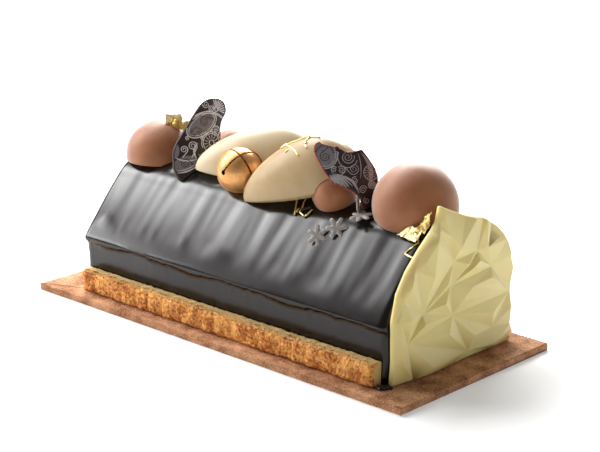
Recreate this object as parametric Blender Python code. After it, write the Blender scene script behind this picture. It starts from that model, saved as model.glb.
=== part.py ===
"""A glazed yule log on a thin cocoa biscuit, with its chocolate end plate and its toppings.

Metres, +Z up.  The origin is the middle of the biscuit's underside.  The log runs along X,
the end plate closes its +X end, and -Y is the long side that is dressed to be seen.
Every piece is one closed solid, and touching pieces keep a gap of GAP.
"""
import math
import random

import bmesh
import bpy
from mathutils import Matrix, Vector
from mathutils.geometry import delaunay_2d_cdt

GAP = 0.0003                    # between pieces that touch

# The biscuit sheet under everything.
BISCUIT_LENGTH = 0.240
BISCUIT_WIDTH = 0.1068
BISCUIT_THICK = 0.0034
BISCUIT_STEP = 0.008            # spacing of the points along its broken edge
BISCUIT_ROUGH = 0.0004          # how far the broken edge wanders
BISCUIT_CHAMFER = 0.0005        # worn off the upper edge

# The log: upright sides, a drip bead, straight flanks and a round roof.
LOG_LEFT = -0.1000
LOG_RIGHT = 0.0994
LOG_MIDDLE_Y = 0.0035
LOG_FLOOR = BISCUIT_THICK + GAP
LOG_SIDE_HALF = 0.0423
LOG_WAIST_HALF = 0.0419         # the sides draw in a little above the sponge
LOG_WAIST_Z = 0.0160
RIDGE_Z = 0.0685
FLANK_ANGLE = math.radians(50)  # from the horizontal
BEAD_HALF = 0.0428              # from the log's middle to the middle of the drip bead
BEAD_Z = 0.0300
BEAD_RADIUS = 0.0018
BEAD_WANDER = 0.0007            # how far the drip line rises and falls
BEAD_START = math.radians(-62)
LEFT_END_ROUND = 0.0036
RIGHT_END_ROUND = 0.0036
LOG_STATION = 0.0075            # spacing of the cross-sections
END_STEPS = 4                   # cross-sections in each rounded end
ROOF_STEPS = 12
BEAD_STEPS = 4
CUTTER_OVERRUN = 0.02

# The sponge strips that stand along both sides of the log.
SPONGE_TOP = 0.0147
SPONGE_FRONT_THICK = 0.0073
SPONGE_BACK_THICK = 0.0061
SPONGE_LEFT = -0.0962
SPONGE_RIGHT = 0.0970
SPONGE_STATION = 0.0065
SPONGE_LUMP = 0.0007
SPONGE_FOOT_LUMP = 0.0010       # the lowest crumbs are broken away the most
SPONGE_EDGE = 0.0008            # rounded off the upper outer edge
SPONGE_HEIGHTS = (0.0, 0.35, 0.70)  # shares of the height where the crust has points

# The moulded white chocolate plate on the right end.
PLATE_BACK_X = LOG_RIGHT + 0.0005
PLATE_FOOT = BISCUIT_THICK + GAP
PLATE_VALLEY = 0.0040           # thickness where creases meet
# The outline runs from the front foot over the arch, as (y, z, thickness): the front rim is
# plain, and on the far side the folds run out into it.
PLATE_OUTLINE = [
    (-0.0385, PLATE_FOOT, 0.0030), (-0.0376, 0.0140, 0.0030), (-0.0381, 0.0330, 0.0030),
    (-0.0350, 0.0450, 0.0030), (-0.0290, 0.0540, 0.0030), (-0.0205, 0.0620, 0.0030),
    (-0.0130, 0.0680, 0.0030), (-0.0092, 0.0720, 0.0030), (-0.0073, 0.0787, 0.0030),
    (0.0000, 0.0754, 0.0030), (0.0092, 0.0714, 0.0034), (0.0153, 0.0693, 0.0056),
    (0.0217, 0.0678, 0.0040), (0.0234, 0.0669, 0.0056), (0.0277, 0.0647, 0.0040),
    (0.0330, 0.0613, 0.0044), (0.0375, 0.0570, 0.0050), (0.0382, 0.0547, 0.0060),
    (0.0424, 0.0494, 0.0044), (0.0417, 0.0462, 0.0062), (0.0450, 0.0394, 0.0056),
    (0.0446, 0.0303, 0.0042), (0.0436, 0.0204, 0.0062), (0.0445, 0.0119, 0.0050),
    (0.0462, 0.0075, 0.0055), (0.0437, PLATE_FOOT, 0.0050), (0.0300, PLATE_FOOT, 0.0053),
    (0.0129, PLATE_FOOT, 0.0050), (0.0000, PLATE_FOOT, 0.0053), (-0.0150, PLATE_FOOT, 0.0058),
    (-0.0267, PLATE_FOOT, 0.0045)]
PLATE_VALLEYS = {               # where creases meet, as (y, z)
    "A": (0.0010, 0.0522), "B": (0.0179, 0.0531), "C": (0.0289, 0.0431), "D": (-0.0005, 0.0412),
    "E": (-0.0202, 0.0327), "F": (0.0010, 0.0269), "G": (0.0430, 0.0279), "H": (0.0309, 0.0134),
    "I": (-0.0299, 0.0211), "J": (0.0129, 0.0070)}
PLATE_CRESTS = {                # where facets come to a point, as (y, z, thickness)
    "a": (-0.0139, 0.0643, 0.0071), "b": (-0.0105, 0.0688, 0.0052), "c": (0.0019, 0.0578, 0.0071),
    "d": (-0.0043, 0.0655, 0.0061), "e": (0.0233, 0.0536, 0.0061), "f": (0.0168, 0.0493, 0.0071),
    "g": (0.0099, 0.0491, 0.0071), "h": (0.0113, 0.0466, 0.0071), "i": (0.0124, 0.0380, 0.0066),
    "j": (0.0261, 0.0392, 0.0071), "k": (0.0323, 0.0349, 0.0064), "l": (0.0047, 0.0335, 0.0071),
    "m": (-0.0073, 0.0348, 0.0071), "n": (-0.0050, 0.0428, 0.0062), "o": (-0.0157, 0.0490, 0.0071),
    "p": (-0.0203, 0.0559, 0.0052), "q": (-0.0294, 0.0477, 0.0060), "r": (-0.0263, 0.0540, 0.0046),
    "s": (-0.0295, 0.0329, 0.0066), "t": (-0.0328, 0.0421, 0.0044), "u": (-0.0214, 0.0288, 0.0071),
    "v": (-0.0043, 0.0199, 0.0071), "w": (0.0142, 0.0145, 0.0071), "x": (0.0280, 0.0214, 0.0071),
    "y": (-0.0151, 0.0072, 0.0071), "z": (0.0305, 0.0062, 0.0066), "1": (-0.0347, 0.0166, 0.0056),
    "2": (-0.0352, 0.0264, 0.0056), "3": (-0.0347, 0.0322, 0.0044), "4": (-0.0060, 0.0731, 0.0048)}
# Pairs of these that a straight fold joins; the rest of the skin finds its own.
PLATE_FOLDS = ("AB AD AE BC BD CD CG DE DF EF EI FG FH FI FJ GH HJ IJ "
               "Ab Gl Gi Eq Er I3").split()

# The round and egg-shaped mousses on the roof.
LEFT_DOME = Vector((-0.0870, 0.0015, 0.0673))
LEFT_DOME_RADIUS = 0.0175
LEFT_DOME_FLAT = 0.0022         # the flat underside lies this far under its middle
RIGHT_SPHERE = Vector((0.0780, 0.0055, 0.0719))
RIGHT_SPHERE_RADIUS = 0.0197
SMALL_DOME = Vector((0.0374, -0.0040, 0.0718))
SMALL_DOME_RADIUS = 0.0105
BACK_DOME = Vector((-0.0530, 0.0205, 0.0700))
BACK_DOME_RADIUS = 0.0125
BALL_FACET = 0.0041             # about the width of a facet round a ball's middle

EGG_LENGTH = 0.0635
EGG_WIDTH = 0.0310
EGG_HEIGHT = 0.0220             # above the widest plane
EGG_DEPTH = 0.0040              # below the widest plane
EGG_FULLNESS = 2.07             # 2 is an ellipse, less is more pointed
EGG_SKEW = 0.30                 # how much fuller the far end is than the tip
EGG_AROUND = 24
EGG_ALONG = 16
# Each egg's middle, then its azimuth, tilt and roll in degrees.
BACK_EGG = (Vector((-0.0235, 0.0090, 0.0682)), 35, -1, -3)
FRONT_EGG = (Vector((0.0180, -0.0035, 0.0702)), 20, 16.5, 1)

# The gilded bell.
BELL = Vector((-0.0190, -0.0090, 0.0730))
BELL_RADIUS = 0.01105
BELL_AXIS = Vector((0.43, -0.376, 0.818))
BELL_SLOT_WIDTH = 0.0009
BELL_SLOT_DEPTH = 0.0016
BELL_SLOT_END = math.radians(63)    # from the crown to the slot's round end
BELL_HOLE_RADIUS = 0.0012
BELL_SEAM = math.radians(112)       # from the crown to the middle of the seam
BELL_SEAM_WIDTH = 0.0010
BELL_SEAM_HEIGHT = 0.0003
BELL_SEAM_SLOPE = 1.3               # the seam's foot against its crest, in width
BELL_TURN = math.radians(33)
BELL_SLOTS = 4
BELL_AROUND = 28
BELL_RINGS = 16
BELL_SLOT_STEPS = 6
BELL_HOLE_SIDES = 8

# The printed chocolate shards.
SHARD_THICK = 0.0018
SHARD_SPACING = 0.0045          # between the points inside a shard
SHARD_CLEAR = 0.0020            # from the points inside a shard to its outline
LEFT_SHARD_FOOT = Vector((-0.0556, -0.0141, 0.0618))
LEFT_SHARD_TURN = 73            # degrees from +X to the shard's own width
RIGHT_SHARD_FOOT = Vector((0.0546, -0.0043, 0.0664))
RIGHT_SHARD_TURN = 54
SHARD_LEAN = 16.7               # degrees that a shard leans back
LEFT_SHARD_BULGE = 0.0034
RIGHT_SHARD_BULGE = 0.0022
# Both outlines run round from the foot, as (along the width, up) from the shard's own foot.
LEFT_SHARD_CURVE = [            # a leaf, drawn as a smooth curve through these points
    (0.0030, -0.0030), (-0.0015, 0.0035), (-0.0018, 0.0100), (-0.0006, 0.0165),
    (0.0053, 0.0245), (0.0135, 0.0339), (0.0190, 0.0380), (0.0255, 0.0385),
    (0.0304, 0.0360), (0.0308, 0.0310), (0.0265, 0.0260), (0.0247, 0.0190),
    (0.0210, 0.0100), (0.0120, 0.0015)]
RIGHT_SHARD_OUTLINE = [         # snapped along its top and left side
    (0.0010, -0.0040), (0.0060, -0.0040), (0.0078, 0.0040), (0.0086, 0.0110),
    (0.0084, 0.0157), (0.0074, 0.0189), (0.0047, 0.0233), (0.0015, 0.0278),
    (-0.0013, 0.0274), (-0.0046, 0.0269), (-0.0068, 0.0275), (-0.0092, 0.0288),
    (-0.0101, 0.0300), (-0.0113, 0.0296), (-0.0167, 0.0313), (-0.0181, 0.0324),
    (-0.0197, 0.0316), (-0.0204, 0.0301), (-0.0204, 0.0279), (-0.0196, 0.0250),
    (-0.0168, 0.0190), (-0.0129, 0.0125), (-0.0105, 0.0121), (-0.0045, 0.0090),
    (-0.0019, 0.0070), (-0.0003, 0.0048)]

# The silver sugar snowflakes.
FLAKE_RADIUS = 0.0040
FLAKE_LOBE = 0.0010
FLAKE_PETALS = 6
FLAKE_SQUARE = 2.2              # how steeply a petal drops into the notch beside it
FLAKE_POINTS = 48
FLAKE_THICK = 0.0011
# Each flake's middle, where it faces and its turn in radians: three lie, the last one stands.
FLAKES = [
    (Vector((0.0434, -0.0216, 0.0562)), Vector((0.36, -0.73, 0.45)), 0.0),
    (Vector((0.0515, -0.0179, 0.0607)), Vector((0.39, -0.72, 0.44)), 0.5),
    (Vector((0.0608, -0.0120, 0.0669)), Vector((0.0, -0.20, 0.98)), 0.15),
    (Vector((0.0556, -0.0079, 0.0696)), Vector((0.80, 0.58, 0.15)), 0.45)]


def clear_scene():
    """Empty the file, so that only the cake is in it."""
    for thing in list(bpy.context.scene.objects):
        bpy.data.objects.remove(thing, do_unlink=True)


def food(name, colour, roughness, metallic=0.0):
    """A plain food finish."""
    material = bpy.data.materials.new(name)
    material.use_nodes = True
    shader = material.node_tree.nodes["Principled BSDF"]
    shader.inputs["Base Color"].default_value = (*colour, 1.0)
    shader.inputs["Roughness"].default_value = roughness
    shader.inputs["Metallic"].default_value = metallic
    return material


def add_piece(name, shape, material):
    """Turn a bmesh into a named object with outward faces."""
    bmesh.ops.recalc_face_normals(shape, faces=shape.faces)
    mesh = bpy.data.meshes.new(name)
    shape.to_mesh(mesh)
    shape.free()
    mesh.materials.append(material)
    piece = bpy.data.objects.new(name, mesh)
    bpy.context.scene.collection.objects.link(piece)
    return piece


def soften(piece, angle=40):
    """Smooth shading that keeps edges sharper than the angle."""
    piece.data.shade_smooth()
    piece.data.set_sharp_from_angle(angle=math.radians(angle))


def as_cutter(piece):
    """Mark a piece that only cuts others."""
    piece.hide_render = True
    piece.display_type = "WIRE"
    return piece


def cut(piece, *cutters):
    """Take the cutters' shapes out of a piece."""
    for cutter in cutters:
        modifier = piece.modifiers.new("cut by " + cutter.name, "BOOLEAN")
        modifier.operation = "DIFFERENCE"
        modifier.solver = "EXACT"
        modifier.object = cutter


def loft(rings):
    """Skin equal rings of points and close both ends."""
    shape = bmesh.new()
    loops = [[shape.verts.new(point) for point in ring] for ring in rings]
    count = len(loops[0])
    for near, far in zip(loops, loops[1:]):
        for i in range(count):
            j = (i + 1) % count
            shape.faces.new((near[i], near[j], far[j], far[i]))
    shape.faces.new(loops[0])
    shape.faces.new(reversed(loops[-1]))
    return shape


def stations(start, end, spacing):
    """Even places along X, about one spacing apart."""
    count = max(2, round((end - start) / spacing))
    return [start + (end - start) * i / count for i in range(count + 1)]


# ---------------------------------------------------------------- the biscuit
def make_biscuit(material):
    """A thin sheet with straight but broken edges."""
    wander = random.Random(11)
    half_x = BISCUIT_LENGTH / 2
    half_y = BISCUIT_WIDTH / 2
    corners = [(-half_x, -half_y), (half_x, -half_y), (half_x, half_y), (-half_x, half_y)]
    outline = []
    for (x0, y0), (x1, y1) in zip(corners, corners[1:] + corners[:1]):
        steps = round(math.hypot(x1 - x0, y1 - y0) / BISCUIT_STEP)
        inward = Vector((y0 - y1, x1 - x0)).normalized()
        for i in range(steps):
            dent = 0.0 if i == 0 else BISCUIT_ROUGH * wander.random()
            along = i / steps
            outline.append((x0 + (x1 - x0) * along + inward.x * dent,
                            y0 + (y1 - y0) * along + inward.y * dent))
    levels = [(0.0, 1.0), (BISCUIT_THICK - BISCUIT_CHAMFER, 1.0),
              (BISCUIT_THICK, 1.0 - BISCUIT_CHAMFER / half_y)]
    rings = [[(x * scale, y * scale, z) for x, y in outline] for z, scale in levels]
    return add_piece("biscuit", loft(rings), material)


# -------------------------------------------------------------------- the log
def roof_radius(grow):
    """Radius of the roof that meets the flanks smoothly; grow swells the whole outline."""
    reach = (BEAD_HALF * math.sin(FLANK_ANGLE) + BEAD_Z * math.cos(FLANK_ANGLE)
             + BEAD_RADIUS + grow)
    return (reach - (RIDGE_Z + grow) * math.cos(FLANK_ANGLE)) / (1 - math.cos(FLANK_ANGLE))


def half_outline(bead_shift=0.0, grow=0.0):
    """The log's right half from the floor to the ridge, as (distance from middle, height)."""
    points = [(LOG_SIDE_HALF + grow, LOG_FLOOR), (LOG_WAIST_HALF + grow, LOG_WAIST_Z)]
    turn = (math.pi / 2 - FLANK_ANGLE) - BEAD_START
    for i in range(BEAD_STEPS + 1):
        angle = BEAD_START + turn * i / BEAD_STEPS
        radius = BEAD_RADIUS + grow
        points.append((BEAD_HALF + radius * math.cos(angle),
                       BEAD_Z + bead_shift + radius * math.sin(angle)))
    radius = roof_radius(grow)
    centre_z = RIDGE_Z + grow - radius
    for i in range(ROOF_STEPS // 2):
        angle = FLANK_ANGLE * (1 - 2 * i / ROOF_STEPS)
        points.append((radius * math.sin(angle), centre_z + radius * math.cos(angle)))
    return points


def section(x, bead_shift=0.0, grow=0.0, inset=0.0):
    """One whole cross-section of the log at x, drawn in by inset all round."""
    right = half_outline(bead_shift, grow)
    both = right + [(0.0, RIDGE_Z + grow)] + [(-w, z) for w, z in reversed(right)]
    wide = 1 - inset / LOG_SIDE_HALF
    tall = 1 - inset / (RIDGE_Z - LOG_FLOOR)
    return [(x, LOG_MIDDLE_Y + w * wide, LOG_FLOOR + (z - LOG_FLOOR) * tall) for w, z in both]


def drip(x):
    """Rise and fall of the drip line along the log."""
    return BEAD_WANDER * (math.sin(x * 95 + 0.7) + 0.5 * math.sin(x * 210 + 2.0))


def make_log(material):
    """The mousse log under its glaze, round at both ends."""
    turns = [math.pi / 2 * i / END_STEPS for i in range(END_STEPS + 1)]
    rings = [section(LOG_LEFT + LEFT_END_ROUND * (1 - math.cos(a)), drip(LOG_LEFT),
                     inset=LEFT_END_ROUND * (1 - math.sin(a))) for a in turns[:-1]]
    for x in stations(LOG_LEFT + LEFT_END_ROUND, LOG_RIGHT - RIGHT_END_ROUND, LOG_STATION):
        rings.append(section(x, drip(x)))
    rings += [section(LOG_RIGHT - RIGHT_END_ROUND * (1 - math.sin(a)), drip(LOG_RIGHT),
                      inset=RIGHT_END_ROUND * (1 - math.cos(a))) for a in turns[1:]]
    log = add_piece("log", loft(rings), material)
    soften(log, 50)
    return log


def make_log_cutter(material):
    """The log grown by the gap, to trim what rests on it."""
    ends = (LOG_LEFT - CUTTER_OVERRUN, LOG_RIGHT + CUTTER_OVERRUN)
    rings = [section(x, grow=GAP) for x in ends]
    return as_cutter(add_piece("log_cutter", loft(rings), material))


# ----------------------------------------------------------- the sponge strips
def make_sponge(name, inner_y, outer_y, seed, material):
    """A standing strip whose crust side is lumpy and whose ends are torn."""
    lump = random.Random(seed)
    out = 1 if outer_y > inner_y else -1
    floor = BISCUIT_THICK + GAP
    rings = []
    for x in stations(SPONGE_LEFT, SPONGE_RIGHT, SPONGE_STATION):
        top = SPONGE_TOP - SPONGE_LUMP * lump.random()
        ring = [(x, inner_y, floor)]
        for share in SPONGE_HEIGHTS:
            size = SPONGE_LUMP if share else SPONGE_FOOT_LUMP
            height = floor + share * (SPONGE_TOP - floor)
            ring.append((x, outer_y - out * size * lump.random(), height))
        ring += [(x, outer_y - out * SPONGE_EDGE, top), (x, inner_y, top)]
        rings.append(ring)
    return add_piece(name, loft(rings), material)


# --------------------------------------------------------------- the end plate
def make_plate(material):
    """Creases that meet in valleys, with a facet's point standing up between them."""
    rim_count = len(PLATE_OUTLINE)
    valleys = [(y, z, PLATE_VALLEY) for y, z in PLATE_VALLEYS.values()]
    placed = PLATE_OUTLINE + valleys + list(PLATE_CRESTS.values())
    number = {name: rim_count + i for i, name in enumerate([*PLATE_VALLEYS, *PLATE_CRESTS])}
    edges = [(i, (i + 1) % rim_count) for i in range(rim_count)]
    edges += [(number[one], number[other]) for one, other in PLATE_FOLDS]
    flat, _, faces, origin, _, _ = delaunay_2d_cdt(
        [Vector((y, z)) for y, z, _ in placed], edges, [], 1, 1e-6)
    shape = bmesh.new()
    front = [shape.verts.new((PLATE_BACK_X + placed[origin[i][0]][2], p.x, p.y))
             for i, p in enumerate(flat)]
    back = [shape.verts.new((PLATE_BACK_X, p.x, p.y)) for p in flat]
    for face in faces:
        shape.faces.new([front[i] for i in face])
        shape.faces.new([back[i] for i in reversed(face)])
    for i in range(rim_count):
        j = (i + 1) % rim_count
        shape.faces.new((front[i], back[i], back[j], front[j]))
    return add_piece("end_plate", shape, material)


# ---------------------------------------------------------------- the mousses
def ball(name, centre, radius, material, flat=None):
    """A sphere, with a flat underside where flat gives its height."""
    shape = bmesh.new()
    rings = 2 * round(math.pi * radius / BALL_FACET / 2 + 1)
    bmesh.ops.create_uvsphere(shape, u_segments=2 * rings, v_segments=rings, radius=radius)
    bmesh.ops.translate(shape, verts=shape.verts, vec=centre)
    if flat is not None:
        everything = list(shape.verts) + list(shape.edges) + list(shape.faces)
        bmesh.ops.bisect_plane(shape, geom=everything, plane_co=(0, 0, flat),
                               plane_no=(0, 0, -1), clear_outer=True)
        rim = [edge for edge in shape.edges if edge.is_boundary]
        bmesh.ops.edgeloop_fill(shape, edges=rim)
    piece = add_piece(name, shape, material)
    soften(piece)
    return piece


def turned(azimuth, tilt, roll):
    """Rotation that points X along azimuth and tilt, then rolls about it (degrees)."""
    return (Matrix.Rotation(math.radians(azimuth), 3, "Z")
            @ Matrix.Rotation(math.radians(-tilt), 3, "Y")
            @ Matrix.Rotation(math.radians(roll), 3, "X"))


def egg(name, place, material, grow=0.0):
    """An egg-shaped mousse: pointed tip, fuller far end, flatter below than above."""
    centre, azimuth, tilt, roll = place
    rotation = turned(azimuth, tilt, roll)
    length = EGG_LENGTH / 2 + grow
    rings = []
    for i in range(1, EGG_ALONG):
        s = -math.cos(math.pi * i / EGG_ALONG)
        swell = math.sqrt(1 - abs(s) ** EGG_FULLNESS) * (1 + EGG_SKEW * s)
        ring = []
        for j in range(EGG_AROUND):
            angle = 2 * math.pi * j / EGG_AROUND
            side = math.cos(angle) * (EGG_WIDTH / 2 + grow)
            rise = math.sin(angle)
            rise *= (EGG_HEIGHT if rise > 0 else EGG_DEPTH) + grow
            ring.append(Vector((length * s, side * swell, rise * swell)))
        rings.append([centre + rotation @ point for point in ring])
    piece = add_piece(name, loft(rings), material)
    soften(piece)
    return piece


# -------------------------------------------------------------------- the bell
def on_bell(crown_angle, around, radius):
    """A point on the bell's sphere, counted from its crown."""
    axis = BELL_AXIS.normalized()
    side = axis.cross(Vector((0, 0, 1))).normalized()
    other = axis.cross(side)
    direction = (axis * math.cos(crown_angle)
                 + (side * math.cos(around) + other * math.sin(around)) * math.sin(crown_angle))
    return BELL + direction * radius


def make_bell(material):
    """A round bell with a raised seam and four slots that end in round holes."""
    crest = BELL_SEAM_WIDTH / 2 / BELL_RADIUS
    foot = crest * BELL_SEAM_SLOPE
    profile = [(BELL_SEAM - foot, BELL_RADIUS), (BELL_SEAM + foot, BELL_RADIUS),
               (BELL_SEAM - crest, BELL_RADIUS + BELL_SEAM_HEIGHT),
               (BELL_SEAM + crest, BELL_RADIUS + BELL_SEAM_HEIGHT)]
    for i in range(1, BELL_RINGS):
        angle = math.pi * i / BELL_RINGS
        if abs(angle - BELL_SEAM) > 2 * crest:
            profile.append((angle, BELL_RADIUS))
    rings = [[on_bell(angle, 2 * math.pi * j / BELL_AROUND, radius) for j in range(BELL_AROUND)]
             for angle, radius in sorted(profile)]
    bell = add_piece("bell", loft(rings), material)
    soften(bell, 30)
    return bell


def make_slot_cutter(index, material):
    """One curved slot from the crown to its round hole."""
    around = BELL_TURN + index * 2 * math.pi / BELL_SLOTS
    low = BELL_RADIUS - BELL_SLOT_DEPTH
    high = BELL_RADIUS + BELL_SLOT_DEPTH
    start = -0.5 * BELL_SLOT_WIDTH / BELL_RADIUS
    rings = []
    step = (BELL_SLOT_END - start) / BELL_SLOT_STEPS
    for i in range(BELL_SLOT_STEPS + 1):
        angle = start + step * i
        inner = on_bell(angle, around, low)
        outer = on_bell(angle, around, high)
        ahead = on_bell(angle + step, around, low) - inner
        across = ahead.cross(outer - inner).normalized() * (BELL_SLOT_WIDTH / 2)
        rings.append([inner - across, inner + across, outer + across, outer - across])
    return as_cutter(add_piece(f"slot_cutter_{index}", loft(rings), material))


def make_hole_cutter(index, material):
    """The round hole at a slot's end."""
    around = BELL_TURN + index * 2 * math.pi / BELL_SLOTS
    inner = on_bell(BELL_SLOT_END, around, BELL_RADIUS - BELL_SLOT_DEPTH)
    outer = on_bell(BELL_SLOT_END, around, BELL_RADIUS + BELL_SLOT_DEPTH)
    axis = (outer - inner).normalized()
    side = axis.orthogonal().normalized()
    other = axis.cross(side)
    turns = [2 * math.pi * j / BELL_HOLE_SIDES for j in range(BELL_HOLE_SIDES)]
    spokes = [(side * math.cos(a) + other * math.sin(a)) * BELL_HOLE_RADIUS for a in turns]
    rings = [[end + spoke for spoke in spokes] for end in (inner, outer)]
    return as_cutter(add_piece(f"hole_cutter_{index}", loft(rings), material))


# ------------------------------------------------------------------ the shards
def smooth_curve(points):
    """A closed curve through the points, with one more point halfway along each stretch."""
    count = len(points)
    curve = []
    for i in range(count):
        before, here, there, after = (Vector(points[(i + k) % count]) for k in (-1, 0, 1, 2))
        curve += [here, (here + there) * 0.5625 - (before + after) * 0.0625]
    return curve


def make_shard(name, points, foot, turn, bulge, material):
    """A thin sheet with this outline, bent about its long axis."""
    count = len(points)
    left = min(p.x for p in points)
    half = (max(p.x for p in points) - left) / 2
    inside = []
    columns = math.ceil(2 * half / SHARD_SPACING)
    rows = math.ceil(max(p.y for p in points) / SHARD_SPACING)
    for i in range(1, columns):
        for j in range(rows):
            p = Vector((left + 2 * half * i / columns, SHARD_SPACING * (j + 0.5 * (i % 2))))
            if is_inside(p, points) and min((p - q).length for q in points) > SHARD_CLEAR:
                inside.append(p)
    edges = [(i, (i + 1) % count) for i in range(count)]
    flat, _, faces, _, _, _ = delaunay_2d_cdt(points + inside, edges, [], 1, 1e-6)
    turn_about = (Matrix.Rotation(math.radians(turn), 3, "Z")
                  @ Matrix.Rotation(math.radians(-SHARD_LEAN), 3, "X"))
    shape = bmesh.new()
    sides = []
    for depth in (0.0, SHARD_THICK):
        side = []
        for p in flat:
            bend = bulge * (1 - ((p.x - left) / half - 1) ** 2)
            side.append(shape.verts.new(foot + turn_about @ Vector((p.x, depth - bend, p.y))))
        sides.append(side)
    front, back = sides
    for face in faces:
        shape.faces.new([front[i] for i in face])
        shape.faces.new([back[i] for i in reversed(face)])
    for i in range(count):
        j = (i + 1) % count
        shape.faces.new((front[i], back[i], back[j], front[j]))
    piece = add_piece(name, shape, material)
    soften(piece)
    return piece


def is_inside(p, outline):
    """Whether a point lies inside a closed outline."""
    inside = False
    for a, b in zip(outline, outline[1:] + outline[:1]):
        if (a.y > p.y) != (b.y > p.y) and p.x < a.x + (p.y - a.y) * (b.x - a.x) / (b.y - a.y):
            inside = not inside
    return inside


# -------------------------------------------------------------- the snowflakes
def make_flake(name, centre, normal, spin, material):
    """A flat six-petalled flake."""
    facing = normal.normalized()
    side = facing.orthogonal().normalized()
    other = facing.cross(side)
    rings = []
    for level in (-0.5, 0.5):
        ring = []
        for i in range(FLAKE_POINTS):
            angle = 2 * math.pi * i / FLAKE_POINTS
            wave = math.tanh(FLAKE_SQUARE * math.cos(FLAKE_PETALS * angle))
            radius = FLAKE_RADIUS + FLAKE_LOBE * wave
            flat = side * math.cos(angle + spin) + other * math.sin(angle + spin)
            ring.append(centre + flat * radius + facing * FLAKE_THICK * level)
        rings.append(ring)
    return add_piece(name, loft(rings), material)


def main():
    """Build the whole cake."""
    clear_scene()
    biscuit = food("cocoa biscuit", (0.24, 0.10, 0.045), 0.9)
    glaze = food("dark mirror glaze", (0.012, 0.008, 0.007), 0.12)
    sponge = food("baked sponge", (0.52, 0.22, 0.06), 0.9)
    white = food("white chocolate", (0.62, 0.55, 0.30), 0.35)
    milk = food("milk chocolate velvet", (0.42, 0.20, 0.11), 0.6)
    cream = food("vanilla mousse", (0.68, 0.56, 0.36), 0.55)
    gold = food("gilded chocolate", (0.72, 0.38, 0.10), 0.35, 1.0)
    dark = food("printed dark chocolate", (0.05, 0.025, 0.025), 0.4)
    silver = food("silvered sugar", (0.55, 0.53, 0.50), 0.45, 1.0)

    make_biscuit(biscuit)
    make_log(glaze)
    log_cutter = make_log_cutter(glaze)
    side_gap = LOG_SIDE_HALF + GAP
    make_sponge("sponge_front", LOG_MIDDLE_Y - side_gap,
                LOG_MIDDLE_Y - side_gap - SPONGE_FRONT_THICK, 3, sponge)
    make_sponge("sponge_back", LOG_MIDDLE_Y + side_gap,
                LOG_MIDDLE_Y + side_gap + SPONGE_BACK_THICK, 4, sponge)
    make_plate(white)

    left_dome = ball("milk_dome_left", LEFT_DOME, LEFT_DOME_RADIUS, milk,
                     flat=LEFT_DOME.z - LEFT_DOME_FLAT)
    right_sphere = ball("milk_sphere", RIGHT_SPHERE, RIGHT_SPHERE_RADIUS, milk)
    small_dome = ball("milk_dome_small", SMALL_DOME, SMALL_DOME_RADIUS, milk)
    back_dome = ball("milk_dome_back", BACK_DOME, BACK_DOME_RADIUS, milk)
    back_egg = egg("vanilla_egg_back", BACK_EGG, cream)
    front_egg = egg("vanilla_egg_front", FRONT_EGG, cream)
    bell = make_bell(gold)
    left_shard = make_shard("shard_left", smooth_curve(LEFT_SHARD_CURVE), LEFT_SHARD_FOOT,
                            LEFT_SHARD_TURN, LEFT_SHARD_BULGE, dark)
    right_shard = make_shard("shard_right", [Vector(p) for p in RIGHT_SHARD_OUTLINE],
                             RIGHT_SHARD_FOOT, RIGHT_SHARD_TURN, RIGHT_SHARD_BULGE, dark)

    sphere_cutter = as_cutter(ball("sphere_cutter", RIGHT_SPHERE, RIGHT_SPHERE_RADIUS + GAP, milk))
    small_cutter = as_cutter(ball("small_cutter", SMALL_DOME, SMALL_DOME_RADIUS + GAP, milk))
    bell_reach = BELL_RADIUS + BELL_SEAM_HEIGHT + GAP
    bell_cutter = as_cutter(ball("bell_cutter", BELL, bell_reach, gold))
    front_egg_cutter = as_cutter(egg("front_egg_cutter", FRONT_EGG, cream, grow=GAP))
    back_egg_cutter = as_cutter(egg("back_egg_cutter", BACK_EGG, cream, grow=GAP))
    for piece in (left_dome, right_sphere, small_dome, bell, left_shard):
        cut(piece, log_cutter)
    cut(back_egg, log_cutter, bell_cutter, front_egg_cutter)
    cut(front_egg, log_cutter, bell_cutter, small_cutter)
    cut(back_dome, log_cutter, back_egg_cutter)
    cut(right_shard, log_cutter, sphere_cutter)
    for index in range(BELL_SLOTS):
        cut(bell, make_slot_cutter(index, gold), make_hole_cutter(index, gold))

    for number, (middle, facing, spin) in enumerate(FLAKES, 1):
        flake = make_flake(f"snowflake_{number}", middle, facing, spin, silver)
        cut(flake, log_cutter)


main()
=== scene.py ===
# %% [markdown]
# # Dressing a glazed yule log
# The cake is a mousse log under a dark mirror glaze.  It stands on a thin cocoa biscuit between
# two strips of sponge, with a moulded white chocolate plate on one end and a row of small mousses,
# printed shards, a gilded bell, sugar snowflakes and gold leaf on its roof.  The plain solids
# arrive as a fixed frame.  Each cell below turns one of them into food.

# %% Load the frame
import contextlib
import itertools
import math

import bmesh
import bpy
from mathutils import Matrix, Vector, noise
from mathutils.geometry import delaunay_2d_cdt


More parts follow.
